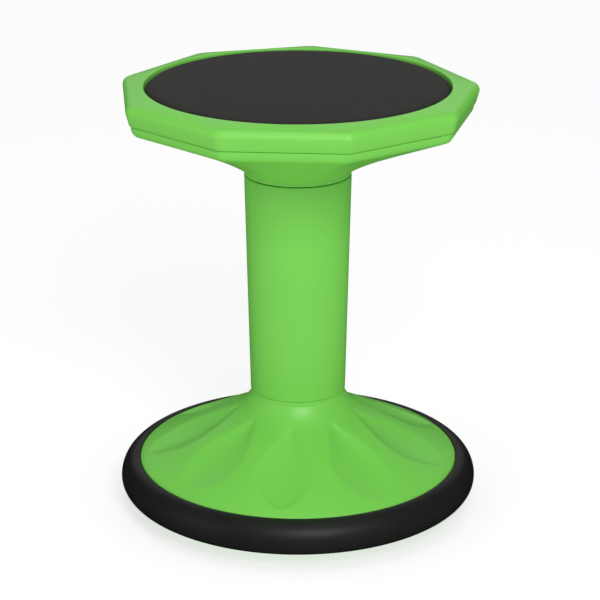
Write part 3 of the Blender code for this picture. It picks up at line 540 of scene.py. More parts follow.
def baked(obj: bpy.types.Object, sharp: float | None = 35.0) -> bpy.types.Object:
    """Applies an object's modifiers to its mesh.

    Args:
        obj: the object.
        sharp: degrees past which edges are marked sharp again, or None to leave them.

    Returns:
        The same object.
    """
    graph = bpy.context.evaluated_depsgraph_get()
    mesh = bpy.data.meshes.new_from_object(obj.evaluated_get(graph))
    obj.modifiers.clear()
    obj.data = mesh
    if sharp is not None:
        mesh.shade_smooth()
        mesh.set_sharp_from_angle(angle=radians(sharp))
    return obj


def drilled(obj: bpy.types.Object, cutters: Iterable[bpy.types.Object]) -> bpy.types.Object:
    """Cuts objects out of another, applies the cuts and removes the cutters."""
    cutters = list(cutters)
    for cutter in cutters:
        modifier = obj.modifiers.new(cutter.name, "BOOLEAN")
        modifier.operation = "DIFFERENCE"
        modifier.solver = "EXACT"
        modifier.object = cutter
    baked(obj)
    for cutter in cutters:
        bpy.data.objects.remove(cutter)
    return obj


def rods(name: str, spots: Iterable[Vector], radius: float, low: float, high: float) -> bpy.types.Object:
    """One cutter of upright cylinders at these spots."""
    bm = bmesh.new()
    for spot in spots:
        place = Matrix.Translation((spot.x, spot.y, (low + high) / 2))
        bmesh.ops.create_cone(
            bm, cap_ends=True, segments=32, radius1=radius, radius2=radius, depth=high - low, matrix=place
        )
    return as_object(name, bm)


def mid(node: str) -> Vector:
    """The middle of a CAD node's box."""
    low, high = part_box(node)
    return (low + high) / 2


@dataclass
class Assembly:
    """A group of pieces that share a body."""

    wardrobe: Wardrobe
    body: Body

    def settle(self, piece: bpy.types.Object, slot: Slot, *nodes: str) -> None:
        """Dresses a finished piece, puts it on its body and lets it stand for CAD nodes."""
        self.wardrobe.dress(piece, slot)
        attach(piece, self.body.value)
        if nodes:
            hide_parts(*nodes)
        log.info("%s: %d faces on %s", piece.name, len(piece.data.polygons), self.body.value)


# ------------------------------------------------------------------ seat
@dataclass(frozen=True)
class NineSides:
    """The seat's outline: nine equal sides that meet in rounded corners."""

    sides: int = 9
    turn: float = radians(85.6)
    rounding: float = 12.0 * MM
    nominal_corner: float = 150.0 * MM
    corner_columns: int = 10
    side_columns: int = 22

    def reach(self, angle: float, corner: float) -> float:
        """Distance from the axis to the outline.

        Args:
            angle: the direction looked in.
            corner: distance from the axis to the sharp corner that the rounding starts from.

        Returns:
            The distance to the outline in that direction.
        """
        half = pi / self.sides
        offset = (angle - self.turn) % (2 * half)
        from_corner = min(offset, 2 * half - offset)
        straight = corner * cos(half) / cos(half - from_corner)
        centre = corner - self.rounding / cos(half)
        side = centre * sin(from_corner)
        if side > self.rounding * sin(half):
            return straight
        return min(straight, centre * cos(from_corner) + sqrt(self.rounding**2 - side**2))

    def columns(self) -> list[float]:
        """Angles of the mesh columns, close together round each corner."""
        side = 2 * pi / self.sides
        bend = atan(self.rounding * sin(side / 2) / self.nominal_corner)
        corner = [-bend + 2 * bend * i / self.corner_columns for i in range(self.corner_columns)]
        flat = [bend + (side - 2 * bend) * i / self.side_columns for i in range(self.side_columns)]
        return [self.turn + side * k + a for k in range(self.sides) for a in corner + flat]


@dataclass(frozen=True)
class Station:
    """One ring of a seat shell: part of the way from a circle to the nine-sided outline.

    A share of 0 is the circle and 1 the outline.
    """

    height: float
    circle: float = 0.0
    corner: float = 0.0
    share: float = 1.0

    def place(self, outline: NineSides, angle: float) -> Vector:
        """The ring's point in a direction."""
        reach = self.circle
        if self.share > 0:
            reach += (outline.reach(angle, self.corner) - self.circle) * self.share
        return Vector((reach * cos(angle), reach * sin(angle), self.height))


@dataclass
class Seat(Assembly):
    """The two moulded shells of the seat."""

    outline: NineSides = NineSides()
    corner: float = 158.5 * MM
    rim_round: float = 7.0 * MM
    rim_fall: float = 2.3 * MM
    recess_edge: float = 1.1 * MM
    pad_gap: float = 0.8 * MM
    upper_draft: float = 3.0 * MM
    lower_step: float = 1.4 * MM
    lower_draft: float = 5.0 * MM
    lower_depth: float = 9.5 * MM
    groove_edge: float = 0.5 * MM
    neck_straight: float = 3.5 * MM
    neck_edge: float = 0.9 * MM
    wall: float = 3.2 * MM
    cone: float = 39.5 * MM
    power: float = 6.0
    parting_gap: float = TOUCH
    underside_rings: int = 44

    def __post_init__(self) -> None:
        """Reads the places that the frame settles."""
        low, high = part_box("seat_top_shell")
        self.top = high.z
        self.parting = low.z
        low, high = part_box("pad_cover")
        self.recess = high.x + self.pad_gap
        self.recess_floor = low.z - TOUCH
        self.lower_top = self.parting - 2 * self.parting_gap
        self.neck_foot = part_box("seat_lower_shell")[0].z
        self.neck_top = self.neck_foot + self.neck_straight
        self.neck_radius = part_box("column")[1].x
        self.under_edge = self.parting - self.parting_gap - self.lower_depth

    def shell(self, name: str, stations: Iterable[Station], capped: bool) -> bpy.types.Object:
        """Grows a shell through its stations.

        Args:
            name: the piece's name.
            stations: its rings in order.
            capped: whether its two ends are closed with a face, or meet each other.

        Returns:
            The shell.
        """
        skin = Skin(self.outline.columns())
        for i, station in enumerate(stations):
            skin.grow(lambda angle, s=station: s.place(self.outline, angle))
            if capped and i == 0:
                skin.cap()
        if capped:
            skin.cap()
        return as_object(name, skin.finish())

    def upper_stations(self) -> list[Station]:
        """Rings of the upper shell, from the recess floor over the rim and back inside."""
        top, floor, recess, wall = self.top, self.recess_floor, self.recess, self.wall
        foot = self.corner - self.upper_draft
        rings = [Station(floor, circle=0.5 * recess, share=0.0)]
        bend = arc((recess - wall, floor + wall), wall, -90, 0, 4)
        rings += [Station(z, circle=r, share=0.0) for r, z in bend]
        edge = arc((recess + self.recess_edge, top - self.recess_edge), self.recess_edge, 180, 90, 5)
        rings += [Station(z, circle=r, share=0.0) for r, z in edge]
        flat = cos(pi / self.outline.sides)
        middle = 0.5 * (recess + self.recess_edge + (self.corner - self.rim_round) * flat)
        rim = top - self.rim_fall
        rings.append(Station(0.5 * (top + rim), circle=middle, corner=middle / flat, share=0.5))
        shoulder = arc((self.corner - self.rim_round, rim - self.rim_round), self.rim_round, 78, 0, 12)
        rings += [Station(z, corner=r) for r, z in shoulder]
        fall = rim - self.rim_round - self.parting
        for share in (0.66, 0.33, 0.07):
            rings.append(Station(self.parting + fall * share, corner=foot + self.upper_draft * share))
        lip = arc((foot - self.groove_edge, self.parting + self.groove_edge), self.groove_edge, 0, -90, 3)
        rings += [Station(z, corner=r) for r, z in lip]
        inside = foot - wall
        rings += [Station(self.parting, corner=inside)]
        rings += [Station(rim - 2 * wall, corner=inside + self.upper_draft)]
        rings += [Station(rim - wall, corner=self.corner - self.rim_round)]
        rings += [Station(top - wall, circle=recess + wall, share=0.0)]
        rings += [Station(floor - wall, circle=recess + wall, share=0.0)]
        return rings + [Station(floor - wall, circle=0.5 * recess, share=0.0)]

    def under_height(self, share: float) -> float:
        """Height of the flared underside, from the neck at 0 to the edge at 1."""
        curved = self.under_edge - self.neck_top - self.cone
        return self.neck_top + self.cone * share + curved * (1 - (1 - share) ** self.power)

    def lower_stations(self) -> list[Station]:
        """Rings of the lower shell, from the groove down its wall, along the underside and back inside."""
        wall_corner = self.corner - self.upper_draft - self.lower_step
        edge = wall_corner - self.lower_draft
        run = edge * cos(pi / self.outline.sides) - self.neck_radius
        end = atan(self.lower_depth / self.lower_draft / (self.cone / run))
        bevel = self.groove_edge
        lip = arc((wall_corner - bevel, self.lower_top - bevel), bevel, 90, 0, 3)
        rings = [Station(z, corner=r) for r, z in lip]
        for i in range(1, 13):
            turn = end * i / 12
            tuck = self.lower_draft * (1 - cos(turn)) / (1 - cos(end))
            drop = (self.lower_top - self.groove_edge - self.under_edge) * sin(turn) / sin(end)
            rings.append(Station(self.lower_top - self.groove_edge - drop, corner=wall_corner - tuck))
        for i in range(1, self.underside_rings):
            share = 1 - i / self.underside_rings
            rings.append(self.under_station(share, edge, 0.0))
        neck, bore = self.neck_radius, self.neck_radius - self.wall
        rings.append(Station(self.neck_top, circle=neck, share=0.0))
        foot = arc((neck - self.neck_edge, self.neck_foot + self.neck_edge), self.neck_edge, 0, -90, 3)
        rings += [Station(z, circle=r, share=0.0) for r, z in foot]
        rings += [Station(self.neck_foot, circle=bore, share=0.0)]
        rings += [Station(self.neck_top + self.wall, circle=bore, share=0.0)]
        for share in (0.15, 0.35, 0.6, 0.85):
            rings.append(self.under_station(share, edge - self.wall, 1.2 * self.wall))
        rings += [Station(self.under_edge + self.wall, corner=edge - self.wall)]
        rings += [Station(self.lower_top, corner=wall_corner - self.wall)]
        return rings + rings[:1]

    def under_station(self, share: float, corner: float, lift: float) -> Station:
        """A ring of the underside, lifted for its inner face."""
        return Station(self.under_height(share) + lift, circle=self.neck_radius, corner=corner, share=share)

    def build(self) -> None:
        """Makes both shells."""
        upper = self.shell("upper_seat_shell", self.upper_stations(), capped=True)
        self.settle(upper, Slot.GREEN, "seat_top_shell")
        lower = self.shell("lower_seat_shell", self.lower_stations(), capped=False)
        self.settle(lower, Slot.GREEN, "seat_lower_shell")


# ------------------------------------------------------------------ pad
@dataclass
class Pad(Assembly):
    """The pad's round vinyl cover."""

    edge_round: float = 3.0 * MM
    crown: float = 1.2 * MM
    slack: float = 0.8 * MM
    side_slack: float = 0.2 * MM
    foot_edge: float = 1.0 * MM
    voxel: float = 3.5 * MM
    swell: float = 1.6 * MM
    pressure: float = 4.0
    stiffness: float = 30.0
    frames: int = 15

    def __post_init__(self) -> None:
        """Reads the pad's box."""
        low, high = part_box("pad_cover")
        self.radius = high.x
        self.bottom = low.z
        self.top = high.z

    def outline(self, radius: float, top: float) -> Outline:
        """The pad's section, from the middle of its top to the middle of its bottom."""
        crown = [(radius * s, top - self.crown * s**2) for s in (0.0, 0.15, 0.3, 0.45, 0.6, 0.75, 0.88)]
        edge = arc((radius - self.edge_round, top - self.crown - self.edge_round), self.edge_round, 84, 0, 6)
        foot = [(radius, self.bottom + self.foot_edge), (radius - self.foot_edge, self.bottom)]
        foot.append((0.0, self.bottom))
        return crown + edge + foot

    def swollen(self, pad: bpy.types.Object) -> None:
        """Swells the middle of the top by inner pressure in a cloth simulation, up to a cap."""
        remesh = pad.modifiers.new("weave", "REMESH")
        remesh.mode = "VOXEL"
        remesh.voxel_size = self.voxel
        baked(pad, None)
        rest = [v.co.copy() for v in pad.data.vertices]
        held = pad.vertex_groups.new(name="held")
        inner = self.radius - 2 * self.edge_round
        for vert in pad.data.vertices:
            fast = vert.co.z < self.top - 2.5 * self.edge_round or hypot(vert.co.x, vert.co.y) > inner
            held.add([vert.index], 1.0 if fast else 0.0, "REPLACE")
        cloth = pad.modifiers.new("cloth", "CLOTH")
        cloth.settings.quality = 5
        cloth.settings.mass = 0.4
        cloth.settings.tension_stiffness = self.stiffness
        cloth.settings.compression_stiffness = self.stiffness
        cloth.settings.bending_stiffness = 2.0
        cloth.settings.use_pressure = True
        cloth.settings.uniform_pressure_force = self.pressure
        cloth.settings.vertex_group_mass = "held"
        cloth.settings.effector_weights.gravity = 0.0
        scene = bpy.context.scene
        for frame in range(1, self.frames + 1):
            scene.frame_set(frame)
        baked(pad, None)
        for vert, start in zip(pad.data.vertices, rest):
            step = vert.co - start
            if step.length > self.swell:
                vert.co = start + step.normalized() * self.swell
        scene.frame_set(1)

    def build(self) -> None:
        small = self.radius - self.side_slack
        pad = as_object("pad_vinyl_cover", spun(self.outline(small, self.top - self.slack), 160), 60.0)
        self.swollen(pad)
        smooth = pad.modifiers.new("smooth", "SUBSURF")
        smooth.levels = smooth.render_levels = 1
        baked(pad, 60.0)
        self.settle(pad, Slot.VINYL, "pad_cover")


# ------------------------------------------------------------------ lift
@dataclass
class ScrewLift(Assembly):
    """The threaded post under the seat."""

    lead: float = 20.0 * MM
    crest: float = 35.5 * MM
    thread_depth: float = 3.2 * MM
    crest_share: float = 0.30
    flank_share: float = 0.12
    crest_round: float = 0.10
    fade: float = 7.0 * MM
    steps: int = 96
    bolt_hole: float = 4.4 * MM
    end_wall: float = 6.0 * MM
    post_wall: float = 4.3 * MM
    flange: float = 5.0 * MM

    def __post_init__(self) -> None:
        """Reads the post's place."""
        low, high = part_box("threaded_post")
        self.low = low.z
        self.flange_top = high.z
        self.flange_radius = high.x
        self.thread_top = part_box("lift_nut")[1].z
        self.root = self.crest - self.thread_depth

    def tooth(self) -> Outline:
        """One lead of the thread's outline, as (radius, share of the lead), with softened corners."""
        flank, crest, soft = self.flank_share, self.crest_share, self.crest_round * self.flank_share
        rise = self.thread_depth * self.crest_round
        return [
            (self.root, 0.0),
            (self.root + rise, soft * 2),
            (self.crest - rise, flank - soft),
            (self.crest, flank + soft),
            (self.crest, flank + crest - soft),
            (self.crest - rise, flank + crest + soft),
            (self.root + rise, 2 * flank + crest - soft * 2),
            (self.root, 2 * flank + crest),
            (self.root, 1.0),
        ]

    def helix(self, bm: bmesh.types.BMesh, low: float, high: float, shift: float) -> None:
        """Sweeps the tooth round the axis and trims the sweep level at both ends.

        Args:
            bm: an empty mesh.
            low: where the thread starts.
            high: where it ends.
            shift: the height, in leads, of the tooth's start at angle zero.
        """
        turns = int((high - low) / self.lead) + 3
        start = (low // self.lead - 1 + shift) * self.lead
        verts = [bm.verts.new((r, 0.0, start + share * self.lead)) for r, share in self.tooth()]
        edges = [bm.edges.new(pair) for pair in zip(verts, verts[1:])]
        bmesh.ops.spin(
            bm,
            geom=verts + edges,
            axis=(0, 0, 1),
            cent=(0, 0, 0),
            dvec=(0, 0, self.lead / self.steps),
            steps=self.steps * turns,
            angle=2 * pi * turns,
        )
        bmesh.ops.remove_doubles(bm, verts=bm.verts, dist=0.02 * MM)
        for height, upward in ((low, -1), (high, 1)):
            bmesh.ops.bisect_plane(
                bm,
                geom=list(bm.verts) + list(bm.edges) + list(bm.faces),
                plane_co=(0, 0, height),
                plane_no=(0, 0, upward),
                clear_outer=True,
            )
        for vert in bm.verts:
            strength = min(1.0, (vert.co.z - low) / self.fade, (high - vert.co.z) / self.fade)
            radius = hypot(vert.co.x, vert.co.y)
            wanted = self.root + (radius - self.root) * max(strength, 0.0)
            vert.co.x *= wanted / radius
            vert.co.y *= wanted / radius

    def carry(self, bm: bmesh.types.BMesh, edges: list, outline: Outline) -> list:
        """Extends an open round border through further (radius, height) rings."""
        for radius, height in outline:
            made = bmesh.ops.extrude_edge_only(bm, edges=edges)["geom"]
            for vert in (item for item in made if isinstance(item, bmesh.types.BMVert)):
                angle = atan2(vert.co.y, vert.co.x)
                vert.co = (radius * cos(angle), radius * sin(angle), height)
            edges = [item for item in made if isinstance(item, bmesh.types.BMEdge) and item.is_boundary]
        return edges

    def post(self) -> bpy.types.Object:
        """The hollow post: thread outside, end wall with its bolt hole, flange at the top."""
        bm = bmesh.new()
        shift = -0.5 * (self.crest_share + 2 * self.flank_share)
        self.helix(bm, self.low, self.thread_top, shift)
        border = [edge for edge in bm.edges if edge.is_boundary]
        level = 0.5 * (self.low + self.thread_top)
        below = [edge for edge in border if edge.verts[0].co.z < level]
        above = [edge for edge in border if edge.verts[0].co.z >= level]
        end = self.low + self.end_wall
        bore = self.root - self.post_wall
        inside = self.carry(bm, below, [(self.bolt_hole, self.low), (self.bolt_hole, end), (bore, end)])
        foot = self.flange_top - self.flange
        rim = [(self.root, foot), (self.flange_radius, foot), (self.flange_radius, self.flange_top)]
        outside = self.carry(bm, above, rim + [(bore, self.flange_top)])
        bmesh.ops.bridge_loops(bm, edges=inside + outside)
        bmesh.ops.recalc_face_normals(bm, faces=bm.faces)
        return as_object("lift_post", bm, 30.0)

    def build(self) -> None:
        """Makes the post."""
        self.settle(self.post(), Slot.NYLON, "threaded_post")


# ------------------------------------------------------------------ column
@dataclass
class Column(Assembly):
    """The tapered tube between the base and the seat."""

    wall: float = 3.5 * MM
    foot_radius: float = 42.3 * MM
    spigot_step: float = 4.1 * MM
    collar_step: float = 0.4 * MM
    shoulder: float = 6.0 * MM
    shoulder_foot: float = 2.0 * MM
    top_edge: float = 1.3 * MM
    foot_edge: float = 0.5 * MM
    floor: float = 4.0 * MM
    floor_hole: float = 24.0 * MM

    def __post_init__(self) -> None:
        """Reads the column's place."""
        low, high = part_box("column")
        self.radius = high.x
        self.top = high.z
        self.bottom = low.z
        self.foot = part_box("base_shell")[1].z + TOUCH

    def tube(self) -> bpy.types.Object:
        """The tube with its spigot and its floor."""
        spigot = self.foot_radius - self.spigot_step
        bore = spigot - self.wall
        foot_bore = self.foot_radius - self.collar_step - self.wall
        high = self.bottom + self.floor
        outline = [(self.floor_hole, self.bottom), (spigot, self.bottom), (spigot, self.foot)]
        foot_bevel = self.foot_edge
        outline += arc((self.foot_radius - foot_bevel, self.foot + foot_bevel), foot_bevel, -60, 0, 3)
        outline += arc((self.radius - self.top_edge, self.top - self.top_edge), self.top_edge, 0, 90, 4)
        inner = self.radius - self.wall
        mouth_bevel = 0.5 * self.top_edge
        outline += arc((inner + mouth_bevel, self.top - mouth_bevel), mouth_bevel, 90, 180, 3)
        outline += [(foot_bore, self.foot + self.shoulder), (bore, self.foot + self.shoulder_foot)]
        outline += [(bore, high), (self.floor_hole, high)]
        return as_object("column_tube", spun(outline))

    def build(self) -> None:
        """Makes the tube."""
        self.settle(self.tube(), Slot.GREEN, "column")


# ------------------------------------------------------------------ base
@dataclass(frozen=True)
class Scoops:
    """The nine leaf-shaped scoops in the base's dome."""

    count: int = 9
    turn: float = radians(263.5)
    half_angle: float = radians(14.5)
    depth: float = 5.6 * MM
    start: float = 0.105
    end: float = 0.92
    fullness: float = 0.7
    softness: float = 0.22
    narrowest: float = 0.15
    leaf_columns: int = 26
    land_columns: int = 10

    def leaf(self, along: float) -> float:
        """Width of a scoop, from 0 at its tips to 1 in its middle.

        Args:
            along: share of the way from the column's foot to the dome's edge.

        Returns:
            The width as a share of the widest.
        """
        share = (along - self.start) / (self.end - self.start)
        return sin(pi * share) ** self.fullness if 0 < share < 1 else 0.0

    def sink(self, along: float, off: float) -> float:
        """How deep the dome is scooped.

        Args:
            along: share of the way from the column's foot to the dome's edge.
            off: angle from the scoop's middle line.

        Returns:
            Depth below the dome.
        """
        leaf = self.leaf(along)
        if leaf == 0:
            return 0.0
        across = off / (self.half_angle * leaf)
        bowl = 1 - across**2
        soft = 0.5 * (bowl + sqrt(bowl**2 + self.softness**2)) if bowl > -1 else 0.0
        return self.depth * leaf * soft

    def columns(self) -> list[float]:
        """Mesh columns: the scoop's number, plus a place across it from -1 to 1 and on to the next."""
        leaf = [-1 + 2 * i / self.leaf_columns for i in range(self.leaf_columns)]
        land = [1 + i / self.land_columns for i in range(self.land_columns)]
        return [3.0 * k + c for k in range(self.count) for c in [1 + a for a in leaf + land]]

    def off(self, column: float, along: float) -> tuple[float, float]:
        """Where a mesh column is at a distance from the foot.

        Args:
            column: what columns() calls it.
            along: share of the way from the foot to the edge.

        Returns:
            The direction of its scoop's middle line, and the angle from that line.
        """
        number = int(column / 3.0 + 1e-4)
        across = column - 3.0 * number - 1
        middle = self.turn + 2 * pi * number / self.count
        edge = self.half_angle * max(self.leaf(along), self.narrowest)
        if across <= 1:
            return middle, across * edge
        gap = 2 * (pi / self.count - edge)
        return middle, edge + (across - 1) * gap


@dataclass
class Base(Assembly):
    """The dome and its rubber ring."""

    scoops: Scoops = Scoops()
    edge_radius: float = 142.5 * MM
    collar_radius: float = 41.9 * MM
    collar_height: float = 4.0 * MM
    collar_edge: float = 0.4 * MM
    socket_trim: float = 0.2 * MM
    socket_radius: float = 38.5 * MM
    edge_slope: float = 0.50
    power: float = 16.0
    wall: float = 3.2 * MM
    skirt_step: float = 1.0 * MM
    dome_rings: int = 84
    crowding: float = 1.35
    ring_bulge: float = 24.5 * MM
    ring_radius: float = 160.0 * MM
    under_round: float = 13.0 * MM
    ring_edge: float = 1.2 * MM

    def __post_init__(self) -> None:
        """Reads the places that the frame settles."""
        low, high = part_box("base_shell")
        self.collar_top = high.z
        self.dome_top = high.z - self.collar_height
        self.skirt_bottom = low.z
        low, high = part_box("base_ring")
        self.ring_top = high.z
        self.ring_bottom = low.z
        self.span = self.edge_radius - self.collar_radius
        self.socket_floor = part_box("column")[0].z - TOUCH

    def dome_height(self, radius: float) -> float:
        """Height of the dome between the scoops."""
        away = max(self.edge_radius - radius, 0.0)
        rise = self.dome_top - self.ring_top - self.edge_slope * self.span
        return self.ring_top + self.edge_slope * away + rise * (away / self.span) ** self.power

    def dome_place(self, radius: float, drop: float = 0.0) -> Callable[[float], Vector]:
        """A ring of the scooped dome, as a place function for its columns."""
        along = (radius - self.collar_radius) / self.span

        def place(column: float) -> Vector:
            middle, off = self.scoops.off(column, along)
            height = self.dome_height(radius) - drop - self.scoops.sink(along, off)
            return Vector((radius * cos(middle + off), radius * sin(middle + off), height))

        return place

    def circle_place(self, radius: float, height: float, along: float) -> Callable[[float], Vector]:
        """A plain round ring whose columns stand as they do on the dome at that share."""

        def place(column: float) -> Vector:
            middle, off = self.scoops.off(column, along)
            return Vector((radius * cos(middle + off), radius * sin(middle + off), height))

        return place

    def dome(self) -> bpy.types.Object:
        """The dome with its socket, its scoops and its skirt."""
        skin = Skin(self.scoops.columns())
        hole, socket, floor = 24.0 * MM, self.socket_radius, self.socket_floor
        start = [(hole, floor), (socket, floor), (socket, self.collar_top)]
        edge = self.collar_edge
        start += arc((self.collar_radius - edge, self.collar_top - edge), edge, 90, 0, 3)
        start += [(self.collar_radius, self.dome_top)]
        for radius, height in start:
            skin.grow(self.circle_place(radius, height, 0.0))
        for i in range(1, self.dome_rings + 1):
            share = (i / (self.dome_rings + 1)) ** self.crowding
            skin.grow(self.dome_place(self.collar_radius + self.span * share))
        outer = arc(
            (self.edge_radius - self.skirt_step, self.ring_top - self.skirt_step), self.skirt_step, 80, 0, 3
        )
        skirt = self.edge_radius - self.wall
        outer += [(self.edge_radius, self.skirt_bottom), (skirt, self.skirt_bottom)]
        outer += [(skirt, self.ring_top - self.wall - self.skirt_step)]
        for radius, height in outer:
            skin.grow(self.circle_place(radius, height, 1.0))
        for share in (0.9, 0.75, 0.6, 0.45, 0.3, 0.15):
            skin.grow(self.dome_place(self.collar_radius + self.span * share, 1.3 * self.wall))
        outside = socket + self.wall - self.socket_trim
        under = self.dome_height(self.collar_radius + 0.15 * self.span) - 1.3 * self.wall
        below = floor - self.wall
        for radius, height in ((outside, under), (outside, below), (hole, below), (hole, floor)):
            skin.grow(self.circle_place(radius, height, 0.0))
        return as_object("base_dome", skin.finish(), 28.0)

    def ring(self) -> bpy.types.Object:
        """The rubber ring with the lip that tucks under the dome's skirt."""
        inner = self.edge_radius + TOUCH
        tuck = self.edge_radius - self.wall + TOUCH
        crown = inner + self.ring_edge
        under = self.ring_radius - self.under_round
        outline = arc((crown, self.ring_top - self.ring_edge), self.ring_edge, 180, 90, 4)
        for i in range(1, 25):
            turn = pi / 2 * i / 24
            height = self.ring_bulge + (self.ring_top - self.ring_bulge) * cos(turn)
            outline.append((crown + (self.ring_radius - crown) * sin(turn), height))
        for i in range(1, 17):
            turn = pi / 2 * i / 16
            height = self.ring_bulge - (self.ring_bulge - self.ring_bottom) * sin(turn)
            outline.append((under + self.under_round * cos(turn), height))
        lip = self.skirt_bottom - TOUCH
        outline += [(tuck, self.ring_bottom), (tuck, lip), (inner, lip)]
        return as_object("rubber_ring", spun(outline, 256))

    def build(self) -> None:
        """Makes the dome and the ring."""
        self.settle(self.dome(), Slot.GREEN, "base_shell")
        self.settle(self.ring(), Slot.RUBBER, "base_ring")


@dataclass
class Rocker(Assembly):
    """The bowed plate that closes the base and rocks on the floor."""

    flat: float = 28.0 * MM
    rise: float = 12.0 * MM
    power: float = 1.6
    wall: float = 3.2 * MM
    edge: float = 0.6 * MM
    screw_sink: float = 1.8 * MM
    clearance: float = 0.3 * MM
    steps: int = 28

    def __post_init__(self) -> None:
        """Reads the plate's radius and its screws' places."""
        self.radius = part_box("rocker_plate")[1].x
        self.spots = [mid(f"rocker_screw_{i}") for i in range(1, 10)]
        self.circle = self.spots[0].xy.length

    def height(self, radius: float) -> float:
        """Height of the plate's underside: flat in the middle, then a shallow bowl."""
        share = max(radius - self.flat, 0.0) / (self.radius - self.flat)
        return self.rise * share**self.power

    def plate(self) -> bpy.types.Object:
        """The plate with its counterbored screw holes."""
        reach = self.radius - self.edge
        radii = [self.flat + (reach - self.flat) * i / self.steps for i in range(self.steps + 1)]
        outline = [(0.0, 0.0)] + [(r, self.height(r)) for r in radii]
        outline += arc((reach, self.rise + self.edge), self.edge, -60, 0, 3)
        outline += [(self.radius, self.rise + self.wall - self.edge)]
        outline += [(r, self.height(r) + self.wall) for r in reversed(radii)] + [(0.0, self.wall)]
        plate = as_object("rocker_bowl", spun(outline), 30.0)
        seat = self.height(self.circle) + self.screw_sink
        through = rods("screw_ways", self.spots, 1.7 * MM + self.clearance, -self.wall, seat + 2 * self.wall)
        sinks = rods("screw_sinks", self.spots, 3.6 * MM + self.clearance, -self.wall, seat)
        return drilled(plate, (through, sinks))

    def build(self) -> None:
        """Makes the plate."""
        self.settle(self.plate(), Slot.GREEN, "rocker_plate")


# ------------------------------------------------------------------ screws
@dataclass
class ScrewRow(Assembly):
    """A row of equal pan-head screws with a cross recess."""

    row: str
    count: int
    flipped: bool = False
    head: float = 3.6 * MM
    head_height: float = 2.4 * MM
    shank: float = 1.7 * MM
    slot_length: float = 1.1
    slot_width: float = 0.30
    slot_depth: float = 0.55
    turn: float = 0.7

    def outline(self, length: float) -> Outline:
        """The screw's section, from its point to the middle of its head."""
        head, tall, shank = self.head, self.head_height, self.shank
        tip = [(0.0, -length), (0.35 * shank, 0.5 * shank - length), (shank, 2.5 * shank - length)]
        dome = [(head * cos(t), 0.25 * tall + 0.75 * tall * sin(t)) for t in (0.0, 0.35, 0.7, 1.05, 1.35)]
        return tip + [(shank, 0.0), (head - 0.1 * tall, 0.0), (head, 0.1 * tall)] + dome + [(0.0, tall)]

    def pattern(self, length: float) -> bpy.types.Object:
        """One screw, its head up and the head's foot at the origin."""
        screw = as_object(f"{self.row}_pattern", spun(self.outline(length), 24))
        bars = []
        crossed = ((self.slot_length, self.slot_width), (self.slot_width, self.slot_length))
        for i, (wide, deep) in enumerate(crossed):
            bm = bmesh.new()
            bmesh.ops.create_cube(bm, size=1.0)
            size = (wide * self.head, deep * self.head, 2 * self.slot_depth * self.head_height)
            bmesh.ops.scale(bm, vec=size, verts=bm.verts)
            bmesh.ops.translate(bm, vec=(0, 0, self.head_height), verts=bm.verts)
            bars.append(as_object(f"{self.row}_bar_{i}", bm))
        return drilled(screw, bars)

    def build(self) -> None:
        """Copies the pattern to every screw of the row."""
        low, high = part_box(f"{self.row}_1")
        pattern = self.pattern(high.z - low.z - self.head_height)
        for i in range(1, self.count + 1):
            node = f"{self.row}_{i}"
            low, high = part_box(node)
            bm = bmesh.new()
            bm.from_mesh(pattern.data)
            middle = (low + high) / 2
            height = low.z + self.head_height if self.flipped else high.z - self.head_height
            place = Matrix.Translation((middle.x, middle.y, height))
            if self.flipped:
                place @= Matrix.Rotation(pi, 4, "X")
            bmesh.ops.transform(bm, matrix=place @ Matrix.Rotation(self.turn * i, 4, "Z"), verts=bm.verts)
            self.settle(as_object(f"fine_{node}", bm), Slot.STEEL, node)
        bpy.data.objects.remove(pattern)


# ------------------------------------------------------------------ studio
@dataclass(frozen=True)
class Softbox:
    """One large soft light, aimed at a point."""

    name: str
    place: tuple[float, float, float]
    aim: tuple[float, float, float]
    size: tuple[float, float]
    power: float

    def build(self) -> None:
        """Makes the light."""
        lamp = bpy.data.lights.new(self.name, "AREA")
        lamp.shape = "RECTANGLE"
        lamp.size, lamp.size_y = self.size
        lamp.energy = self.power
        obj = bpy.data.objects.new(self.name, lamp)
        bpy.context.scene.collection.objects.link(obj)
        obj.location = self.place
        obj.rotation_euler = (Vector(self.aim) - Vector(self.place)).to_track_quat("-Z", "Y").to_euler()


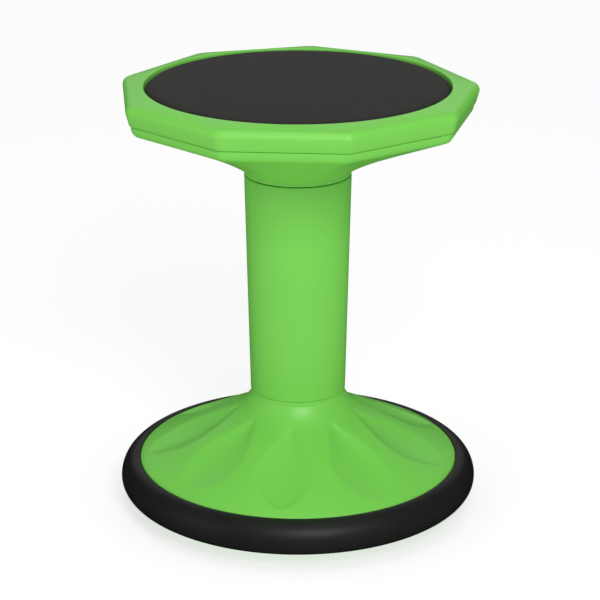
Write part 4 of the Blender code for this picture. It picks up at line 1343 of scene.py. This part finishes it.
@dataclass
class Studio:
    """A white table that glows a little, soft lights and the camera."""

    floor_colour: str = "#a8a8a8"
    floor_glow: float = 0.66
    floor_radius: float = 30.0
    floor_drop: float = 0.2 * MM
    ambient: float = 0.50
    camera_place: tuple[float, float, float] = (0.0, -1.84627, 0.850)
    camera_dip: float = 0.3442
    lens: float = 132.73
    shift: float = 0.00345

    def floor(self) -> None:
        """A round pale floor, which the stool's gloss doesn't pick up."""
        bm = bmesh.new()
        bmesh.ops.create_circle(bm, cap_ends=True, segments=64, radius=self.floor_radius)
        bmesh.ops.translate(bm, verts=bm.verts, vec=(0.0, 0.0, -self.floor_drop))
        floor = as_object("studio_floor", bm)
        material = bpy.data.materials.new("pale_floor")
        material.use_nodes = True
        shader = material.node_tree.nodes["Principled BSDF"]
        shader.inputs["Base Color"].default_value = linear(self.floor_colour)
        shader.inputs["Roughness"].default_value = 1.0
        shader.inputs["Specular IOR Level"].default_value = 0.0
        shader.inputs["Emission Color"].default_value = (1.0, 1.0, 1.0, 1.0)
        shader.inputs["Emission Strength"].default_value = self.floor_glow
        floor.data.materials.append(material)
        floor.visible_glossy = False

    def sky(self) -> None:
        """An even white surround, kept out of the gloss as black flags would keep it."""
        world = bpy.data.worlds.new("studio_surround")
        bpy.context.scene.world = world
        world.use_nodes = True
        background = world.node_tree.nodes["Background"]
        background.inputs["Color"].default_value = (1.0, 1.0, 1.0, 1.0)
        background.inputs["Strength"].default_value = self.ambient
        world.cycles_visibility.glossy = False

    def lights(self) -> None:
        """A high key in front, a top light, a weak fill from the left and a strip behind."""
        for box in (
            Softbox("key_softbox", (0.45, -2.2, 1.8), (0, 0, 0.2), (1.1, 1.1), 39.0),
            Softbox("top_softbox", (0.0, -0.2, 2.2), (0, 0, 0.2), (1.3, 1.3), 7.0),
            Softbox("fill_softbox", (-2.2, -1.2, 1.0), (0, 0, 0.2), (1.2, 1.6), 5.0),
            Softbox("back_softbox", (0.0, 2.6, 1.4), (0, 0, 0.2), (3.2, 0.9), 9.0),
        ):
            box.build()

    def camera(self) -> None:
        """The camera, a little above the seat."""
        lens = bpy.data.cameras.new("camera")
        lens.lens = self.lens
        lens.sensor_width = 36.0
        lens.shift_x = self.shift
        camera = bpy.data.objects.new("camera", lens)
        bpy.context.scene.collection.objects.link(camera)
        camera.location = self.camera_place
        camera.rotation_euler = (pi / 2 - self.camera_dip, 0.0, 0.0)
        bpy.context.scene.camera = camera

    def build(self) -> None:
        """Makes the floor, the surround, the lights and the camera."""
        bpy.context.scene.view_settings.view_transform = "Standard"
        self.floor()
        self.sky()
        self.lights()
        self.camera()


def main() -> None:
    """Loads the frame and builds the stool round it."""
    logging.basicConfig(level=logging.INFO, format="%(name)s: %(message)s")
    for obj in list(bpy.data.objects):
        bpy.data.objects.remove(obj)
    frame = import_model()
    wardrobe = Wardrobe()
    for subpart in frame["record"]["subparts"]:
        wardrobe.dress(frame["nodes"][subpart["node"]], Slot(subpart["material_slot"]))
    Seat(wardrobe, Body.SEAT).build()
    Pad(wardrobe, Body.SEAT).build()
    ScrewLift(wardrobe, Body.SEAT).build()
    Column(wardrobe, Body.STAND).build()
    Base(wardrobe, Body.STAND).build()
    Rocker(wardrobe, Body.STAND).build()
    ScrewRow(wardrobe, Body.SEAT, "shell_screw", 9).build()
    ScrewRow(wardrobe, Body.SEAT, "post_screw", 6).build()
    ScrewRow(wardrobe, Body.SEAT, "pad_screw", 4, flipped=True).build()
    ScrewRow(wardrobe, Body.STAND, "rocker_screw", 9, flipped=True).build()
    ScrewRow(wardrobe, Body.STAND, "column_screw", 4, flipped=True).build()
    small = {"head": 2.0 * MM, "head_height": 1.6 * MM, "shank": 1.1 * MM}
    ScrewRow(wardrobe, Body.STAND, "nut_screw", 4, **small).build()
    Studio().build()


if __name__ == "__main__":
    main()
